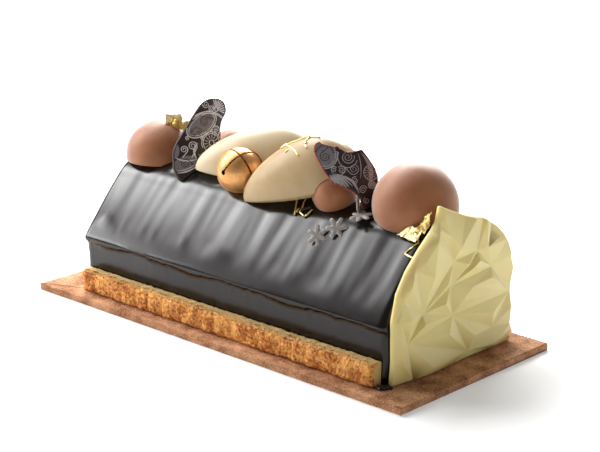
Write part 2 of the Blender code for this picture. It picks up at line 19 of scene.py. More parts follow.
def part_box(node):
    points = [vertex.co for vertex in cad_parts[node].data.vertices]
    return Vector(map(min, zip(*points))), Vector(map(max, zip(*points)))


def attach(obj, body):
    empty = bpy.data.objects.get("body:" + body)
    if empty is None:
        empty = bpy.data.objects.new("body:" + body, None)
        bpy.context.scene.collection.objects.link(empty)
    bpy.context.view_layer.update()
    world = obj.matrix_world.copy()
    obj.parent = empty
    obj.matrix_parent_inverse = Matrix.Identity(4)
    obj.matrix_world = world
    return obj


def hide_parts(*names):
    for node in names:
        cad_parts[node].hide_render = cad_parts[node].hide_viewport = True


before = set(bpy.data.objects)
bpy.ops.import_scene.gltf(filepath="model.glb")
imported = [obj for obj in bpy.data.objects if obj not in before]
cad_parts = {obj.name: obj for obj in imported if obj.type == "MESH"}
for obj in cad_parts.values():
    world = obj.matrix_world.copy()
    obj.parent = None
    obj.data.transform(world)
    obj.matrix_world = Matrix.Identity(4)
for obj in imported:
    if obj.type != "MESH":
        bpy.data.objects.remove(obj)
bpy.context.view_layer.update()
MM = 0.001
print("solids:", len(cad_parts))

# %% [markdown]
# ## Small tools
# Every cell needs the same few things.  `srgb` turns a colour as people write it into the linear
# numbers that Blender works with.  `add` puts one node in a tree with its settings and its links,
# and the short functions after it are the nodes that nearly every finish uses.  `loft` skins a row
# of rings, `make_piece` turns points and faces into a named object whose place is in its mesh, and
# `put` hangs the finished piece on the cake and hides the solids it stands for.


# %% Colour, node and piece helpers
def srgb(text):
    """A hex colour as linear red, green, blue and full alpha."""
    parts = [int(text[i:i + 2], 16) / 255 for i in (1, 3, 5)]
    linear = [c / 12.92 if c <= 0.04045 else ((c + 0.055) / 1.055) ** 2.4 for c in parts]
    return (*linear, 1.0)


def plug(tree, node, inputs):
    """Give a node its inputs: a value, or another node's output to link from."""
    for key, value in inputs.items():
        if isinstance(value, bpy.types.NodeSocket):
            tree.links.new(value, node.inputs[key])
        else:
            node.inputs[key].default_value = value


def add(tree, kind, settings=None, inputs=None):
    """Add a node with these settings and inputs."""
    node = tree.nodes.new(kind)
    for name, value in (settings or {}).items():
        setattr(node, name, value)
    plug(tree, node, inputs or {})
    return node


def maths(tree, operation, first, second):
    """A sum, a product or another operation on two numbers."""
    return add(tree, "ShaderNodeMath", {"operation": operation}, {0: first, 1: second}).outputs[0]


def remap(tree, value, low, high, to_low=0.0, to_high=1.0, kind="LINEAR"):
    """A value carried from one range to another, and held at its ends."""
    return add(tree, "ShaderNodeMapRange", {"interpolation_type": kind}, {
        "Value": value, "From Min": low, "From Max": high,
        "To Min": to_low, "To Max": to_high}).outputs[0]


def clouds(tree, place, scale, detail, roughness=0.5):
    """Soft noise between 0 and 1; scale is in waves per metre."""
    return add(tree, "ShaderNodeTexNoise", inputs={
        "Vector": place, "Scale": scale, "Detail": detail, "Roughness": roughness}).outputs["Fac"]


def blend(tree, share, first, second):
    """A colour between two hex colours or colour outputs."""
    first, second = (srgb(c) if isinstance(c, str) else c for c in (first, second))
    return add(tree, "ShaderNodeMix", {"data_type": "RGBA"}, {
        0: share, 6: first, 7: second}).outputs[2]


def emboss(tree, height, strength, depth):
    """Normals that follow this height, as if it stood this deep."""
    return add(tree, "ShaderNodeBump", inputs={
        "Height": height, "Strength": strength, "Distance": depth}).outputs[0]


def new_finish(name):
    """A new material, its tree, and the piece's own coordinates to draw in."""
    material = bpy.data.materials.new(name)
    material.use_nodes = True
    tree = material.node_tree
    return material, tree, add(tree, "ShaderNodeTexCoord").outputs["Object"]


def shade(material, inputs):
    """Set or link these inputs of the material's shader."""
    plug(material.node_tree, material.node_tree.nodes["Principled BSDF"], inputs)
    return material


@contextlib.contextmanager
def opened(mesh):
    """A mesh as a bmesh to work on; the work is kept at the end."""
    shape = bmesh.new()
    shape.from_mesh(mesh)
    yield shape
    shape.to_mesh(mesh)
    shape.free()


def show(name, data):
    """An object with this data, in the scene."""
    item = bpy.data.objects.new(name, data)
    bpy.context.scene.collection.objects.link(item)
    return item


def make_piece(name, points, faces, material, smooth=True):
    """An object with this mesh, faces outwards."""
    mesh = bpy.data.meshes.new(name)
    mesh.from_pydata([tuple(p) for p in points], [], [tuple(f) for f in faces])
    with opened(mesh) as shape:
        bmesh.ops.recalc_face_normals(shape, faces=shape.faces)
    mesh.materials.append(material)
    if smooth:
        mesh.shade_smooth()
    return show(name, mesh)


def full_turn(count):
    """Angles spread evenly round a full turn."""
    return [2 * math.pi * k / count for k in range(count)]


def pairs(line):
    """Each point of a closed line with the one after it."""
    return list(zip(line, line[1:] + line[:1]))


def ahead_of(line, i):
    """The way an open line runs at its point i."""
    return line[min(i + 1, len(line) - 1)] - line[max(i - 1, 0)]


def loft(rings):
    """Points and faces that skin equal rings of points and close both ends."""
    points = [p for ring in rings for p in ring]
    count = len(rings[0])
    faces = []
    for start in range(0, len(points) - count, count):
        for i in range(count):
            j = (i + 1) % count
            faces.append((start + i, start + j, start + count + j, start + count + i))
    faces.append(tuple(range(count)))
    faces.append(tuple(range(len(points) - count, len(points))))
    return points, faces


def joined(parts):
    """Several lots of points and faces as one."""
    points, faces = [], []
    for more, skin in parts:
        faces += [tuple(k + len(points) for k in face) for face in skin]
        points += more
    return points, faces


def apply_modifiers(piece):
    """Turn what the modifiers make into the piece's own plain mesh."""
    seen = piece.evaluated_get(bpy.context.evaluated_depsgraph_get())
    mesh = bpy.data.meshes.new_from_object(seen)
    piece.modifiers.clear()
    piece.data = mesh
    return piece


def put(piece, slot, *nodes):
    """Hand a finished piece to the cake, in place of the solids it stands for."""
    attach(piece, "root")
    if nodes:
        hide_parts(*nodes)
    print(f"{piece.name}: {len(piece.data.polygons)} faces")


# %% [markdown]
# ## Camera, floor and light
# The cake is seen from its dressed corner, a little above table height, through a long lens.  A
# tall panel at the left is what the glaze mirrors: it glows most at its far, upper end and fades
# towards the near one, so the streaks fade too.  Weak soft boxes at the side, above and behind
# shape the rounds and whiten their tops, and the sweep glows all round and fills from below.

# %% Camera
CAMERA_PLACE = Vector((0.5298, -0.5566, 0.2780))
CAMERA_RIGHT = Vector((0.73200, 0.68131, 0.00201))
CAMERA_UP = Vector((-0.19749, 0.20936, 0.95769))
LENS = 100.07

camera_data = bpy.data.cameras.new("camera")
camera_data.lens = LENS
camera_data.sensor_width = 36.0
camera_data.clip_start = 0.01
camera = show("camera", camera_data)
back = CAMERA_RIGHT.cross(CAMERA_UP)
turn = Matrix((CAMERA_RIGHT, CAMERA_UP, back)).transposed()
camera.matrix_world = Matrix.Translation(CAMERA_PLACE) @ turn.to_4x4()
bpy.context.scene.camera = camera
bpy.context.scene.view_settings.view_transform = "Standard"


# %% Floor and world
def floor_finish():
    """White sweep paper, lit through from below all round the cake so that it stays white."""
    material, tree, place = new_finish("sweep_paper")
    away = add(tree, "ShaderNodeVectorMath", {"operation": "LENGTH"}, {0: place})
    near, far = 0.15, 0.60           # metres from the middle, and how strongly it glows there
    near_glow, far_glow = 0.30, 0.95
    glow = remap(tree, away.outputs["Value"], near, far, near_glow, far_glow, "SMOOTHSTEP")
    return shade(material, {
        "Base Color": srgb("#DADADA"), "Roughness": 0.9, "Specular IOR Level": 0.1,
        "Emission Color": srgb("#FFFFFF"), "Emission Strength": glow})


FLOOR_HALF = 6.0
WORLD_GLOW = 0.16
floor_corners = [(x * FLOOR_HALF, y * FLOOR_HALF, 0) for x, y in ((-1, -1), (1, -1), (1, 1), (-1, 1))]
floor = make_piece("floor", floor_corners, [(0, 1, 2, 3)], floor_finish())

world = bpy.data.worlds.new("studio")
world.use_nodes = True
plug(world.node_tree, world.node_tree.nodes["Background"], {
    "Color": srgb("#FFFFFF"), "Strength": WORLD_GLOW})
bpy.context.scene.world = world


# %% Soft boxes
def soft_box(name, place, aim, width, height, watts):
    """A rectangular light at place that faces aim."""
    lamp = bpy.data.lights.new(name, "AREA")
    lamp.shape = "RECTANGLE"
    lamp.size = width
    lamp.size_y = height
    lamp.energy = watts
    light = show(name, lamp)
    facing = (Vector(place) - Vector(aim)).to_track_quat("Z", "Y")
    light.matrix_world = Matrix.Translation(place) @ facing.to_matrix().to_4x4()
    light.visible_camera = False


def graded_panel(name, corners, falls, glow):
    """A diffusing panel that glows up to glow; each fall is an axis, where it is dark, where full."""
    material, tree, place = new_finish(name)
    split = add(tree, "ShaderNodeSeparateXYZ", inputs={0: place})
    level = glow
    for axis, dark, full in falls:
        share = remap(tree, split.outputs[axis], dark, full, kind="SMOOTHSTEP")
        level = maths(tree, "MULTIPLY", level, share)
    emit = add(tree, "ShaderNodeEmission", inputs={"Strength": level})
    plug(tree, tree.nodes["Material Output"], {"Surface": emit.outputs[0]})
    tree.nodes.remove(tree.nodes["Principled BSDF"])
    panel = make_piece(name, corners, [(0, 1, 2, 3)], material, smooth=False)
    panel.visible_camera = False


KEY_CORNERS = [(-0.10, -0.44, 0.52), (-0.95, -0.26, 0.36), (-0.95, -0.04, 0.56),
               (-0.10, -0.22, 0.72)]
KEY_FALLS = [("X", -0.16, -0.74), ("Z", 0.38, 0.54)]
KEY_GLOW = 15.0
graded_panel("key_panel", KEY_CORNERS, KEY_FALLS, KEY_GLOW)
soft_box("side_box", (-0.95, -0.45, 0.42), (0.0, 0.0, 0.06), 0.40, 0.30, 5)
soft_box("high_box", (-0.60, 0.20, 0.85), (0.0, 0.0, 0.05), 0.40, 0.40, 10)
soft_box("back_box", (-0.42, 0.66, 0.50), (0.0, 0.0, 0.05), 0.50, 0.20, 11)
soft_box("rear_box", (0.60, 0.70, 0.35), (0.05, 0.0, 0.05), 0.40, 0.30, 0.8)

# %% [markdown]
# ## The glaze
# A mirror glaze is cocoa, sugar and gelatine poured warm over frozen mousse.  It sets as a nearly
# black gel with a hard gloss, so almost all that the eye sees in it is the room.  That makes the
# relief matter more than the colour: the glaze runs down the flanks in broad, shallow ripples,
# hangs over in a lip and leaves a wandering drip line.  The section is drawn once and swept along
# the log, and a Geometry Nodes tree pushes the ripples up along the normals.


# %% Glaze finish
def mirror_glaze():
    """Set cocoa gel: black-brown, hard gloss, with faint flow marks."""
    material, tree, place = new_finish("cocoa_mirror_glaze")
    flow = add(tree, "ShaderNodeMapping", inputs={0: place, "Scale": (900, 160, 160)})
    marks = clouds(tree, flow.outputs[0], 1.0, 3.0)
    gloss = remap(tree, clouds(tree, place, 60.0, 2.0), 0.0, 1.0, 0.17, 0.25)
    return shade(material, {
        "Base Color": srgb("#130B09"), "Roughness": gloss, "IOR": 1.46,
        "Normal": emboss(tree, marks, 0.10, 0.1 * MM)})


GLAZE = mirror_glaze()

# %% The log's section
log_low, log_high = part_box("log")
LOG_LEFT, LOG_RIGHT = log_low.x, log_high.x
LOG_Y = (log_low.y + log_high.y) / 2
FLOOR_Z = log_low.z
RIDGE_Z = log_high.z
FLANK = math.radians(50)         # slope of the flank, from the horizontal
FLANK_BEND = math.radians(4)     # the flank is this much flatter above and steeper below
SIDE_HALF = 42.3 * MM
WAIST_HALF = 41.9 * MM
WAIST_Z = 16.0 * MM
LIP_HALF = 42.8 * MM             # middle of the lip's round
LIP_Z = 30.0 * MM
LIP_RADIUS = 1.8 * MM
CREASE_DEPTH = 0.5 * MM
LIP_START = math.radians(-62)
LIP_DROP = 2.4 * MM              # from the lip's middle down to the top of the side
SIDE_FLARE = 0.8 * MM            # how far the side leans out again under the lip
SIDE_STEPS = 8
LIP_STEPS = 8
FLANK_STEPS = 27
ROOF_STEPS = 17
ROOF_RADIUS = ((LIP_HALF * math.sin(FLANK) + LIP_Z * math.cos(FLANK) + LIP_RADIUS
                - RIDGE_Z * math.cos(FLANK)) / (1 - math.cos(FLANK)))


def drip(x):
    """Height of the drip line above its mean, with the small kinks where drops set."""
    slow = 0.7 * math.sin(x * 95 + 0.7) + 0.35 * math.sin(x * 210 + 2.0)
    kinks = noise.noise(Vector((x * 330, 4.1, 0))) * 0.9 + noise.noise(Vector((x * 800, 9, 0))) * 0.4
    return (slow + kinks) * MM


def half_section(x):
    """From the foot to the ridge, as (distance from the middle, height)."""
    shift = drip(x)
    points = []
    for i in range(SIDE_STEPS + 1):                 # the side, drawn in to its waist
        t = i / SIDE_STEPS
        z = FLOOR_Z + (LIP_Z - LIP_DROP - FLOOR_Z) * t
        sway = math.sin(math.pi * min(1.0, (z - FLOOR_Z) / (2 * (WAIST_Z - FLOOR_Z))))
        flare = max(0.0, (z - WAIST_Z) / (LIP_Z - WAIST_Z)) ** 2
        width = SIDE_HALF - (SIDE_HALF - WAIST_HALF) * sway + SIDE_FLARE * flare
        points.append((width, z + shift * t))
    neck = LIP_HALF + LIP_RADIUS * math.cos(LIP_START) - CREASE_DEPTH
    points.append((neck, LIP_Z + shift + LIP_RADIUS * math.sin(LIP_START) - 0.3 * MM))
    sweep = math.pi / 2 - FLANK - FLANK_BEND - LIP_START
    for i in range(LIP_STEPS + 1):                  # the lip
        angle = LIP_START + sweep * i / LIP_STEPS
        points.append((LIP_HALF + LIP_RADIUS * math.cos(angle),
                       LIP_Z + shift * (1 - i / LIP_STEPS) + LIP_RADIUS * math.sin(angle)))
    start = Vector(points[-1])
    end = Vector((ROOF_RADIUS * math.sin(FLANK),
                  RIDGE_Z - ROOF_RADIUS * (1 - math.cos(FLANK))))
    along = end - start
    out = Vector((-along.y, along.x)).normalized() * -1
    belly = along.length * math.tan(FLANK_BEND) / 4
    for i in range(1, FLANK_STEPS):                 # the flank, a little convex
        t = i / FLANK_STEPS
        points.append(start + along * t + out * belly * 4 * t * (1 - t))
    for i in range(ROOF_STEPS):                     # the roof, up to just before the ridge
        angle = FLANK * (1 - i / ROOF_STEPS)
        points.append((ROOF_RADIUS * math.sin(angle),
                       RIDGE_Z - ROOF_RADIUS * (1 - math.cos(angle))))
    return points


def whole_section(x, inset=0.0):
    """Both halves at x, drawn in by inset all round."""
    right = half_section(x)
    both = [*right, (0.0, RIDGE_Z), *[(-w, z) for w, z in reversed(right)]]
    wide = 1 - inset / SIDE_HALF
    tall = 1 - inset / (RIDGE_Z - FLOOR_Z)
    return [(x, LOG_Y + w * wide, FLOOR_Z + (z - FLOOR_Z) * tall) for w, z in both]


# %% Sweep the section
LOG_STEP = 0.9 * MM
LEFT_ROUND = 3.6 * MM
RIGHT_ROUND = 3.6 * MM
END_RINGS = 7


def log_rings():
    """Sections from the left end to the right, drawn in where the ends are rounded."""
    turns = [math.pi / 2 * i / END_RINGS for i in range(END_RINGS + 1)]
    rings = [whole_section(LOG_LEFT + LEFT_ROUND * (1 - math.cos(a)), LEFT_ROUND * (1 - math.sin(a)))
             for a in turns[:-1]]
    straight = LOG_RIGHT - RIGHT_ROUND - LOG_LEFT - LEFT_ROUND
    count = round(straight / LOG_STEP)
    rings += [whole_section(LOG_LEFT + LEFT_ROUND + straight * i / count) for i in range(count + 1)]
    rings += [whole_section(LOG_RIGHT - RIGHT_ROUND * (1 - math.sin(a)),
                            RIGHT_ROUND * (1 - math.cos(a))) for a in turns[1:]]
    return rings


log = make_piece("glazed_log", *loft(log_rings()), GLAZE)
print("log section points:", len(half_section(0.0)))


# %% Ripple the glaze
def geometry_tree(name, numbers, whole_numbers=()):
    """A tree with geometry in and out, these numbers and a finish to set; and its inputs."""
    tree = bpy.data.node_groups.new(name, "GeometryNodeTree")
    given = [("Geometry", "Geometry"), *[(n, "Float") for n in numbers],
             *[(n, "Int") for n in whole_numbers], ("Finish", "Material")]
    for label, kind in given:
        tree.interface.new_socket(label, in_out="INPUT", socket_type=f"NodeSocket{kind}")
    tree.interface.new_socket("Geometry", in_out="OUTPUT", socket_type="NodeSocketGeometry")
    return tree, add(tree, "NodeGroupInput").outputs


def push_out(tree, geometry, amount):
    """Every point moved along its normal by an amount."""
    normal = add(tree, "GeometryNodeInputNormal").outputs[0]
    offset = add(tree, "ShaderNodeVectorMath", {"operation": "SCALE"}, {0: normal, "Scale": amount})
    return add(tree, "GeometryNodeSetPosition", inputs={
        "Geometry": geometry, "Offset": offset.outputs[0]}).outputs[0]


def close_tree(tree, geometry, finish):
    """Real geometry in its finish as the tree's result."""
    real = add(tree, "GeometryNodeRealizeInstances", inputs={0: geometry})
    dressed = add(tree, "GeometryNodeSetMaterial", inputs={
        "Geometry": real.outputs[0], "Material": finish})
    add(tree, "NodeGroupOutput", inputs={0: dressed.outputs[0]})
    return tree


def ripple_tree():
    """Pushes points out along their normals in ripples that run down the flanks."""
    tree, given = geometry_tree("glaze_ripples", ("Spacing", "Height", "Calm Below", "Seed"))
    place = add(tree, "GeometryNodeInputPosition").outputs[0]
    parts = add(tree, "ShaderNodeSeparateXYZ", inputs={0: place}).outputs
    spot = add(tree, "ShaderNodeCombineXYZ", inputs={
        "X": maths(tree, "DIVIDE", parts["X"], given["Spacing"]),
        "Y": maths(tree, "MULTIPLY", parts["Z"], 18.0),
        "Z": maths(tree, "MULTIPLY", parts["Y"], 14.0)})
    waves = add(tree, "ShaderNodeTexNoise", {"noise_dimensions": "4D"}, {
        "Vector": spot.outputs[0], "W": given["Seed"], "Scale": 1.0, "Detail": 1.0})
    full_above = maths(tree, "ADD", given["Calm Below"], 9 * MM)
    mask = remap(tree, parts["Z"], given["Calm Below"], full_above, kind="SMOOTHSTEP")
    centred = maths(tree, "SUBTRACT", waves.outputs["Fac"], 0.5)
    height = maths(tree, "MULTIPLY", maths(tree, "MULTIPLY", centred, given["Height"]), mask)
    return close_tree(tree, push_out(tree, given["Geometry"], height), given["Finish"])


def run_tree(piece, tree, **values):
    """Run a node tree on a piece with these inputs, and keep the result as its plain mesh."""
    modifier = piece.modifiers.new(tree.name, "NODES")
    modifier.node_group = tree
    for item in tree.interface.items_tree:
        key = item.name.replace(" ", "_").lower()
        if item.in_out == "INPUT" and key in values:
            modifier[item.identifier] = values[key]
    return apply_modifiers(piece)


run_tree(log, ripple_tree(), spacing=11.0 * MM, height=1.5 * MM, calm_below=34 * MM, seed=3.0,
         finish=GLAZE)
put(log, "glaze", "log")

# %% [markdown]
# ## What rests on the roof
# The small mousses were unmoulded frozen and set down on glaze that was still soft, so each one
# sits in a shallow print of the roof.  Here a piece is modelled whole, and `settle` then lifts
# every point that would be under the glaze up to it, which is the same print.


# %% Settle a piece on the roof
SINK = 0.3 * MM                  # how deep a resting piece sits in the glaze


def roof_height(y):
    """Height of the glaze above a place across the log."""
    w = abs(y - LOG_Y)
    knee = ROOF_RADIUS * math.sin(FLANK)
    if w < knee:
        return RIDGE_Z - ROOF_RADIUS + math.sqrt(ROOF_RADIUS ** 2 - w ** 2)
    return RIDGE_Z - ROOF_RADIUS * (1 - math.cos(FLANK)) - (w - knee) * math.tan(FLANK)


def settle(points):
    """Lift points that are under the glaze up to it."""
    return [Vector((p.x, p.y, max(p.z, roof_height(p.y) - SINK))) for p in map(Vector, points)]


def cut_away(piece, shapes, smooth=True):
    """Take closed shapes, given as points and faces, out of a piece."""
    cutters = [make_piece("room", *shape, piece.data.materials[0], smooth) for shape in shapes]
    for cutter in cutters:
        modifier = piece.modifiers.new("cut", "BOOLEAN")
        modifier.operation = "DIFFERENCE"
        modifier.solver = "EXACT"
        modifier.object = cutter
    apply_modifiers(piece)
    for cutter in cutters:
        bpy.data.objects.remove(cutter)


# %% [markdown]
# ## Milk chocolate velvet
# A mousse dome gets its velvet coat from cocoa butter and milk chocolate, sprayed warm on the
# frozen shape, where it freezes into a fine, matt grain.  The grain scatters light, so the edges
# turn pale where the eye skims them: that is what a little sheen does in the shader.


# %% Velvet finish
def soft_coat(name, colour, deep, roughness, grain_mm, grain_height, sheen):
    """A matt or satin coat with a fine grain and a slow drift between two colours."""
    material, tree, place = new_finish(name)
    drift = remap(tree, clouds(tree, place, 70.0, 3.0), 0.35, 0.65)
    grain = clouds(tree, place, 1 / (grain_mm * MM), 2.0)
    return shade(material, {
        "Base Color": blend(tree, drift, colour, deep), "Roughness": roughness, "IOR": 1.45,
        "Normal": emboss(tree, grain, grain_height, 0.1 * MM),
        "Sheen Weight": sheen, "Sheen Roughness": 0.4})


VELVET = soft_coat("milk_chocolate_velvet", "#AE7048", "#9B603A", 0.52, 0.35, 0.35, 0.7)


# %% Domes and the sphere
BALL_SEGMENTS = 96
BALL_RINGS = 56


def ball(centre, radius):
    """Points and faces of a sphere whose poles are up and down."""
    shape = bmesh.new()
    bmesh.ops.create_uvsphere(shape, u_segments=BALL_SEGMENTS, v_segments=BALL_RINGS,
                              radius=radius)
    points = [v.co + centre for v in shape.verts]
    faces = [[v.index for v in f.verts] for f in shape.faces]
    shape.free()
    return points, faces


def velvet_ball(name, node, flat=False):
    """A velvet mousse where the frame has a plain one; flat keeps its level underside."""
    low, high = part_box(node)
    radius = (high.x - low.x) / 2
    centre = Vector(((low.x + high.x) / 2, (low.y + high.y) / 2, high.z - radius))
    points, faces = ball(centre, radius)
    if flat:
        points = [Vector((p.x, p.y, max(p.z, low.z))) for p in points]
    put(make_piece(name, settle(points), faces, VELVET), "milk_velvet", node)
    return centre, radius


velvet_ball("velvet_dome_left", "milk_dome_left", flat=True)
velvet_ball("velvet_sphere", "milk_sphere")
SMALL_DOME, SMALL_DOME_RADIUS = velvet_ball("velvet_dome_small", "milk_dome_small")
velvet_ball("velvet_dome_back", "milk_dome_back")

# %% [markdown]
# ## Vanilla eggs
# The two pale eggs are half eggs of vanilla mousse with a thin satin coat; the front one's coat is
# painted darker, as painted shade.  An egg is a circle swept along its length: the width follows an
# ellipse, and a skew makes one end fuller.


# %% Egg finish and shape
VANILLA = soft_coat("vanilla_satin_coat", "#DDCAA8", "#D1BD95", 0.42, 0.9, 0.12, 0.05)
# The front egg's coat is the same vanilla, painted darker: painted shade.
VANILLA_IN_SHADE = soft_coat("caramel_satin_coat", "#C2A67C", "#B69A6E", 0.42, 0.9, 0.12, 0.05)
EGG_LENGTH = 63.5 * MM
EGG_WIDTH = 31.0 * MM
EGG_HEIGHT = 22.0 * MM           # above the widest plane
EGG_DEPTH = 4.0 * MM             # below it
EGG_FULLNESS = 2.07
EGG_SKEW = 0.30
EGG_GAP = 0.3 * MM               # room round what an egg is cut away from
EGG_RINGS = 64
EGG_SEGMENTS = 72
BACK_EGG = (Vector((-23.5, 9.0, 68.2)) * MM, 35, -1, -3)
FRONT_EGG = (Vector((18.0, -3.5, 70.2)) * MM, 20, 16.5, 1)


def egg(place, grow=0.0):
    """Points and faces of an egg; place is its middle, azimuth, tilt and roll in degrees."""
    centre, azimuth, tilt, roll = place
    rotation = (Matrix.Rotation(math.radians(azimuth), 3, "Z")
                @ Matrix.Rotation(math.radians(-tilt), 3, "Y")
                @ Matrix.Rotation(math.radians(roll), 3, "X"))
    rings = []
    for i in range(1, EGG_RINGS):
        s = -math.cos(math.pi * i / EGG_RINGS)
        swell = math.sqrt(1 - abs(s) ** EGG_FULLNESS) * (1 + EGG_SKEW * s)
        ring = []
        for angle in full_turn(EGG_SEGMENTS):
            rise = math.sin(angle)
            tall = (EGG_HEIGHT if rise > 0 else EGG_DEPTH) + grow
            ring.append(centre + rotation @ Vector((
                (EGG_LENGTH / 2 + grow) * s,
                math.cos(angle) * (EGG_WIDTH / 2 + grow) * swell, rise * tall * swell)))
        rings.append(ring)
    return loft(rings)


# %% Both eggs
BELL_RADIUS = 11.05 * MM
BELL_SEAM_HEIGHT = 0.3 * MM
BELL_CENTRE = Vector((-19.0, -9.0, 73.0)) * MM
BELL_ROOM = ball(BELL_CENTRE, BELL_RADIUS + BELL_SEAM_HEIGHT + EGG_GAP)
for name, node, place, coat, neighbour in (
        ("vanilla_egg_rear", "vanilla_egg_back", BACK_EGG, VANILLA, egg(FRONT_EGG, EGG_GAP)),
        ("vanilla_egg_fore", "vanilla_egg_front", FRONT_EGG, VANILLA_IN_SHADE,
         ball(SMALL_DOME, SMALL_DOME_RADIUS + EGG_GAP))):
    points, faces = egg(place)
    piece = make_piece(name, settle(points), faces, coat)
    cut_away(piece, [BELL_ROOM, neighbour])
    piece.data.set_sharp_from_angle(angle=math.radians(40))
    put(piece, "vanilla", node)

# %% [markdown]
# ## The gilded bell
# The bell is chocolate, cast in a round bell mould and brushed with gold lustre powder.  Powder
# that is brushed on lies unevenly, so the metal is patchy in colour and in gloss.  Four slots run
# down from the crown and end in round holes, and a seam runs round below.


# %% Bell finish
def gold_lustre():
    """Gold mica powder brushed over milk chocolate."""
    material, tree, place = new_finish("brushed_gold_lustre")
    strokes = add(tree, "ShaderNodeMapping", inputs={0: place, "Scale": (220, 220, 900)})
    brushed = clouds(tree, strokes.outputs[0], 1.0, 4.0)
    patchy = clouds(tree, place, 420.0, 4.0, 0.7)
    return shade(material, {
        "Base Color": blend(tree, patchy, "#FFCB88", "#D07F3A"), "Metallic": 0.75,
        "Roughness": remap(tree, brushed, 0.0, 1.0, 0.30, 0.52),
        "Normal": emboss(tree, brushed, 0.25, 0.05 * MM)})


def dark_chocolate():
    """Tempered dark chocolate: nearly black-brown, smooth, with a soft shine."""
    material, tree, place = new_finish("tempered_dark_chocolate")
    cloudy = clouds(tree, place, 300.0, 3.0)
    return shade(material, {
        "Base Color": blend(tree, cloudy, "#2A1A1B", "#3B2524"), "Roughness": 0.34, "IOR": 1.47})


GOLD = gold_lustre()
DARK = dark_chocolate()

# %% Bell shape
BELL_AXIS = Vector((0.43, -0.376, 0.818)).normalized()
BELL_SIDE = BELL_AXIS.cross(Vector((0, 0, 1))).normalized()
BELL_OTHER = BELL_AXIS.cross(BELL_SIDE)
SLOTS = 4
SLOT_WIDTH = 0.9 * MM
SLOT_DEPTH = 1.6 * MM
SLOT_TURN = math.radians(33)
SLOT_END = math.radians(63)
HOLE_RADIUS = 1.2 * MM
SEAM = math.radians(112)
SEAM_HALF = 0.5 * MM / BELL_RADIUS
BELL_RINGS = 120
BELL_SEGMENTS = 96


def on_bell(crown_angle, around, radius):
    """A point counted from the bell's crown, and round its axis."""
    flat = BELL_SIDE * math.cos(around) + BELL_OTHER * math.sin(around)
    return BELL_CENTRE + (BELL_AXIS * math.cos(crown_angle) + flat * math.sin(crown_angle)) * radius


def bell_body():
    """A sphere with its seam."""
    rings = []
    for i in range(1, BELL_RINGS):
        angle = math.pi * i / BELL_RINGS
        raised = max(0.0, 1 - (abs(angle - SEAM) / (1.3 * SEAM_HALF)) ** 4)
        radius = BELL_RADIUS + BELL_SEAM_HEIGHT * raised
        rings.append([on_bell(angle, a, radius) for a in full_turn(BELL_SEGMENTS)])
    return loft(rings)


def slot_room(around):
    """The bent bar that one slot takes out."""
    rings = []
    start = -0.5 * SLOT_WIDTH / BELL_RADIUS
    for i in range(17):
        angle = start + (SLOT_END - start) * i / 16
        inner = on_bell(angle, around, BELL_RADIUS - SLOT_DEPTH)
        outer = on_bell(angle, around, BELL_RADIUS + SLOT_DEPTH)
        ahead = on_bell(angle + 0.05, around, BELL_RADIUS) - on_bell(angle, around, BELL_RADIUS)
        across = ahead.cross(outer - inner).normalized() * (SLOT_WIDTH / 2)
        rings.append([inner - across, inner + across, outer + across, outer - across])
    return loft(rings)


def hole_room(around):
    """The short round bar that the hole at a slot's end takes out."""
    inner = on_bell(SLOT_END, around, BELL_RADIUS - SLOT_DEPTH)
    outer = on_bell(SLOT_END, around, BELL_RADIUS + SLOT_DEPTH)
    side = (outer - inner).orthogonal().normalized() * HOLE_RADIUS
    other = (outer - inner).normalized().cross(side)
    return loft([[end + side * math.cos(a) + other * math.sin(a) for a in full_turn(24)]
                 for end in (inner, outer)])


points, faces = bell_body()
bell = make_piece("gilded_bell", settle(points), faces, GOLD)
rooms = [room(SLOT_TURN + a) for room in (slot_room, hole_room) for a in full_turn(SLOTS)]
cut_away(bell, rooms, smooth=False)
# The faces deep in the slots and holes take dark chocolate instead of gold: painted shade in the
# narrow recesses.
bell.data.materials.append(DARK)
for face in bell.data.polygons:
    if (face.center - BELL_CENTRE).length < BELL_RADIUS - 0.5 * MM and face.center.z > RIDGE_Z:
        face.material_index = 1
bell.data.set_sharp_from_angle(angle=math.radians(35))
put(bell, "gilt", "bell")

# %% [markdown]
# ## The end plate
# White chocolate was poured into a folded mould, so its face is all flat facets whose edges melted
# a little.  The frame already has the facets.  A copy of them is welded, and the edges are bevelled:
# the creases barely, the outer rim a lot, because there the chocolate pulled itself round.


# %% White chocolate finish
def white_chocolate():
    """Moulded white chocolate: ivory, satin, and lit a little from inside."""
    material, tree, place = new_finish("moulded_white_chocolate")
    combed = add(tree, "ShaderNodeMapping", inputs={
        0: place, "Rotation": (math.radians(35), 0, 0), "Scale": (300, 2500, 60)})
    scratches = clouds(tree, combed.outputs[0], 1.0, 2.0)
    patch = remap(tree, clouds(tree, place, 90.0, 0.0), 0.52, 0.62)
    scratched = maths(tree, "MULTIPLY", scratches, patch)
    return shade(material, {
        "Base Color": blend(tree, clouds(tree, place, 45.0, 2.0), "#F4E5A2", "#E9D68C"),
        "Normal": emboss(tree, scratched, 0.5, 0.1 * MM), "Roughness": 0.38, "IOR": 1.46,
        "Subsurface Weight": 0.6, "Subsurface Radius": (1.0, 0.75, 0.35),
        "Subsurface Scale": 2.5 * MM})


WHITE = white_chocolate()


# %% Plate shape
def welded_copy(name, node, material):
    """A copy of a solid whose loose triangles are joined into one skin."""
    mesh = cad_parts[node].data.copy()
    with opened(mesh) as shape:
        bmesh.ops.remove_doubles(shape, verts=shape.verts, dist=0.01 * MM)
        bmesh.ops.dissolve_limit(shape, angle_limit=math.radians(0.5), verts=shape.verts,
                                 edges=shape.edges)
    mesh.materials.clear()
    mesh.materials.append(material)
    return show(name, mesh)


CREASE_WEIGHT = 0.3


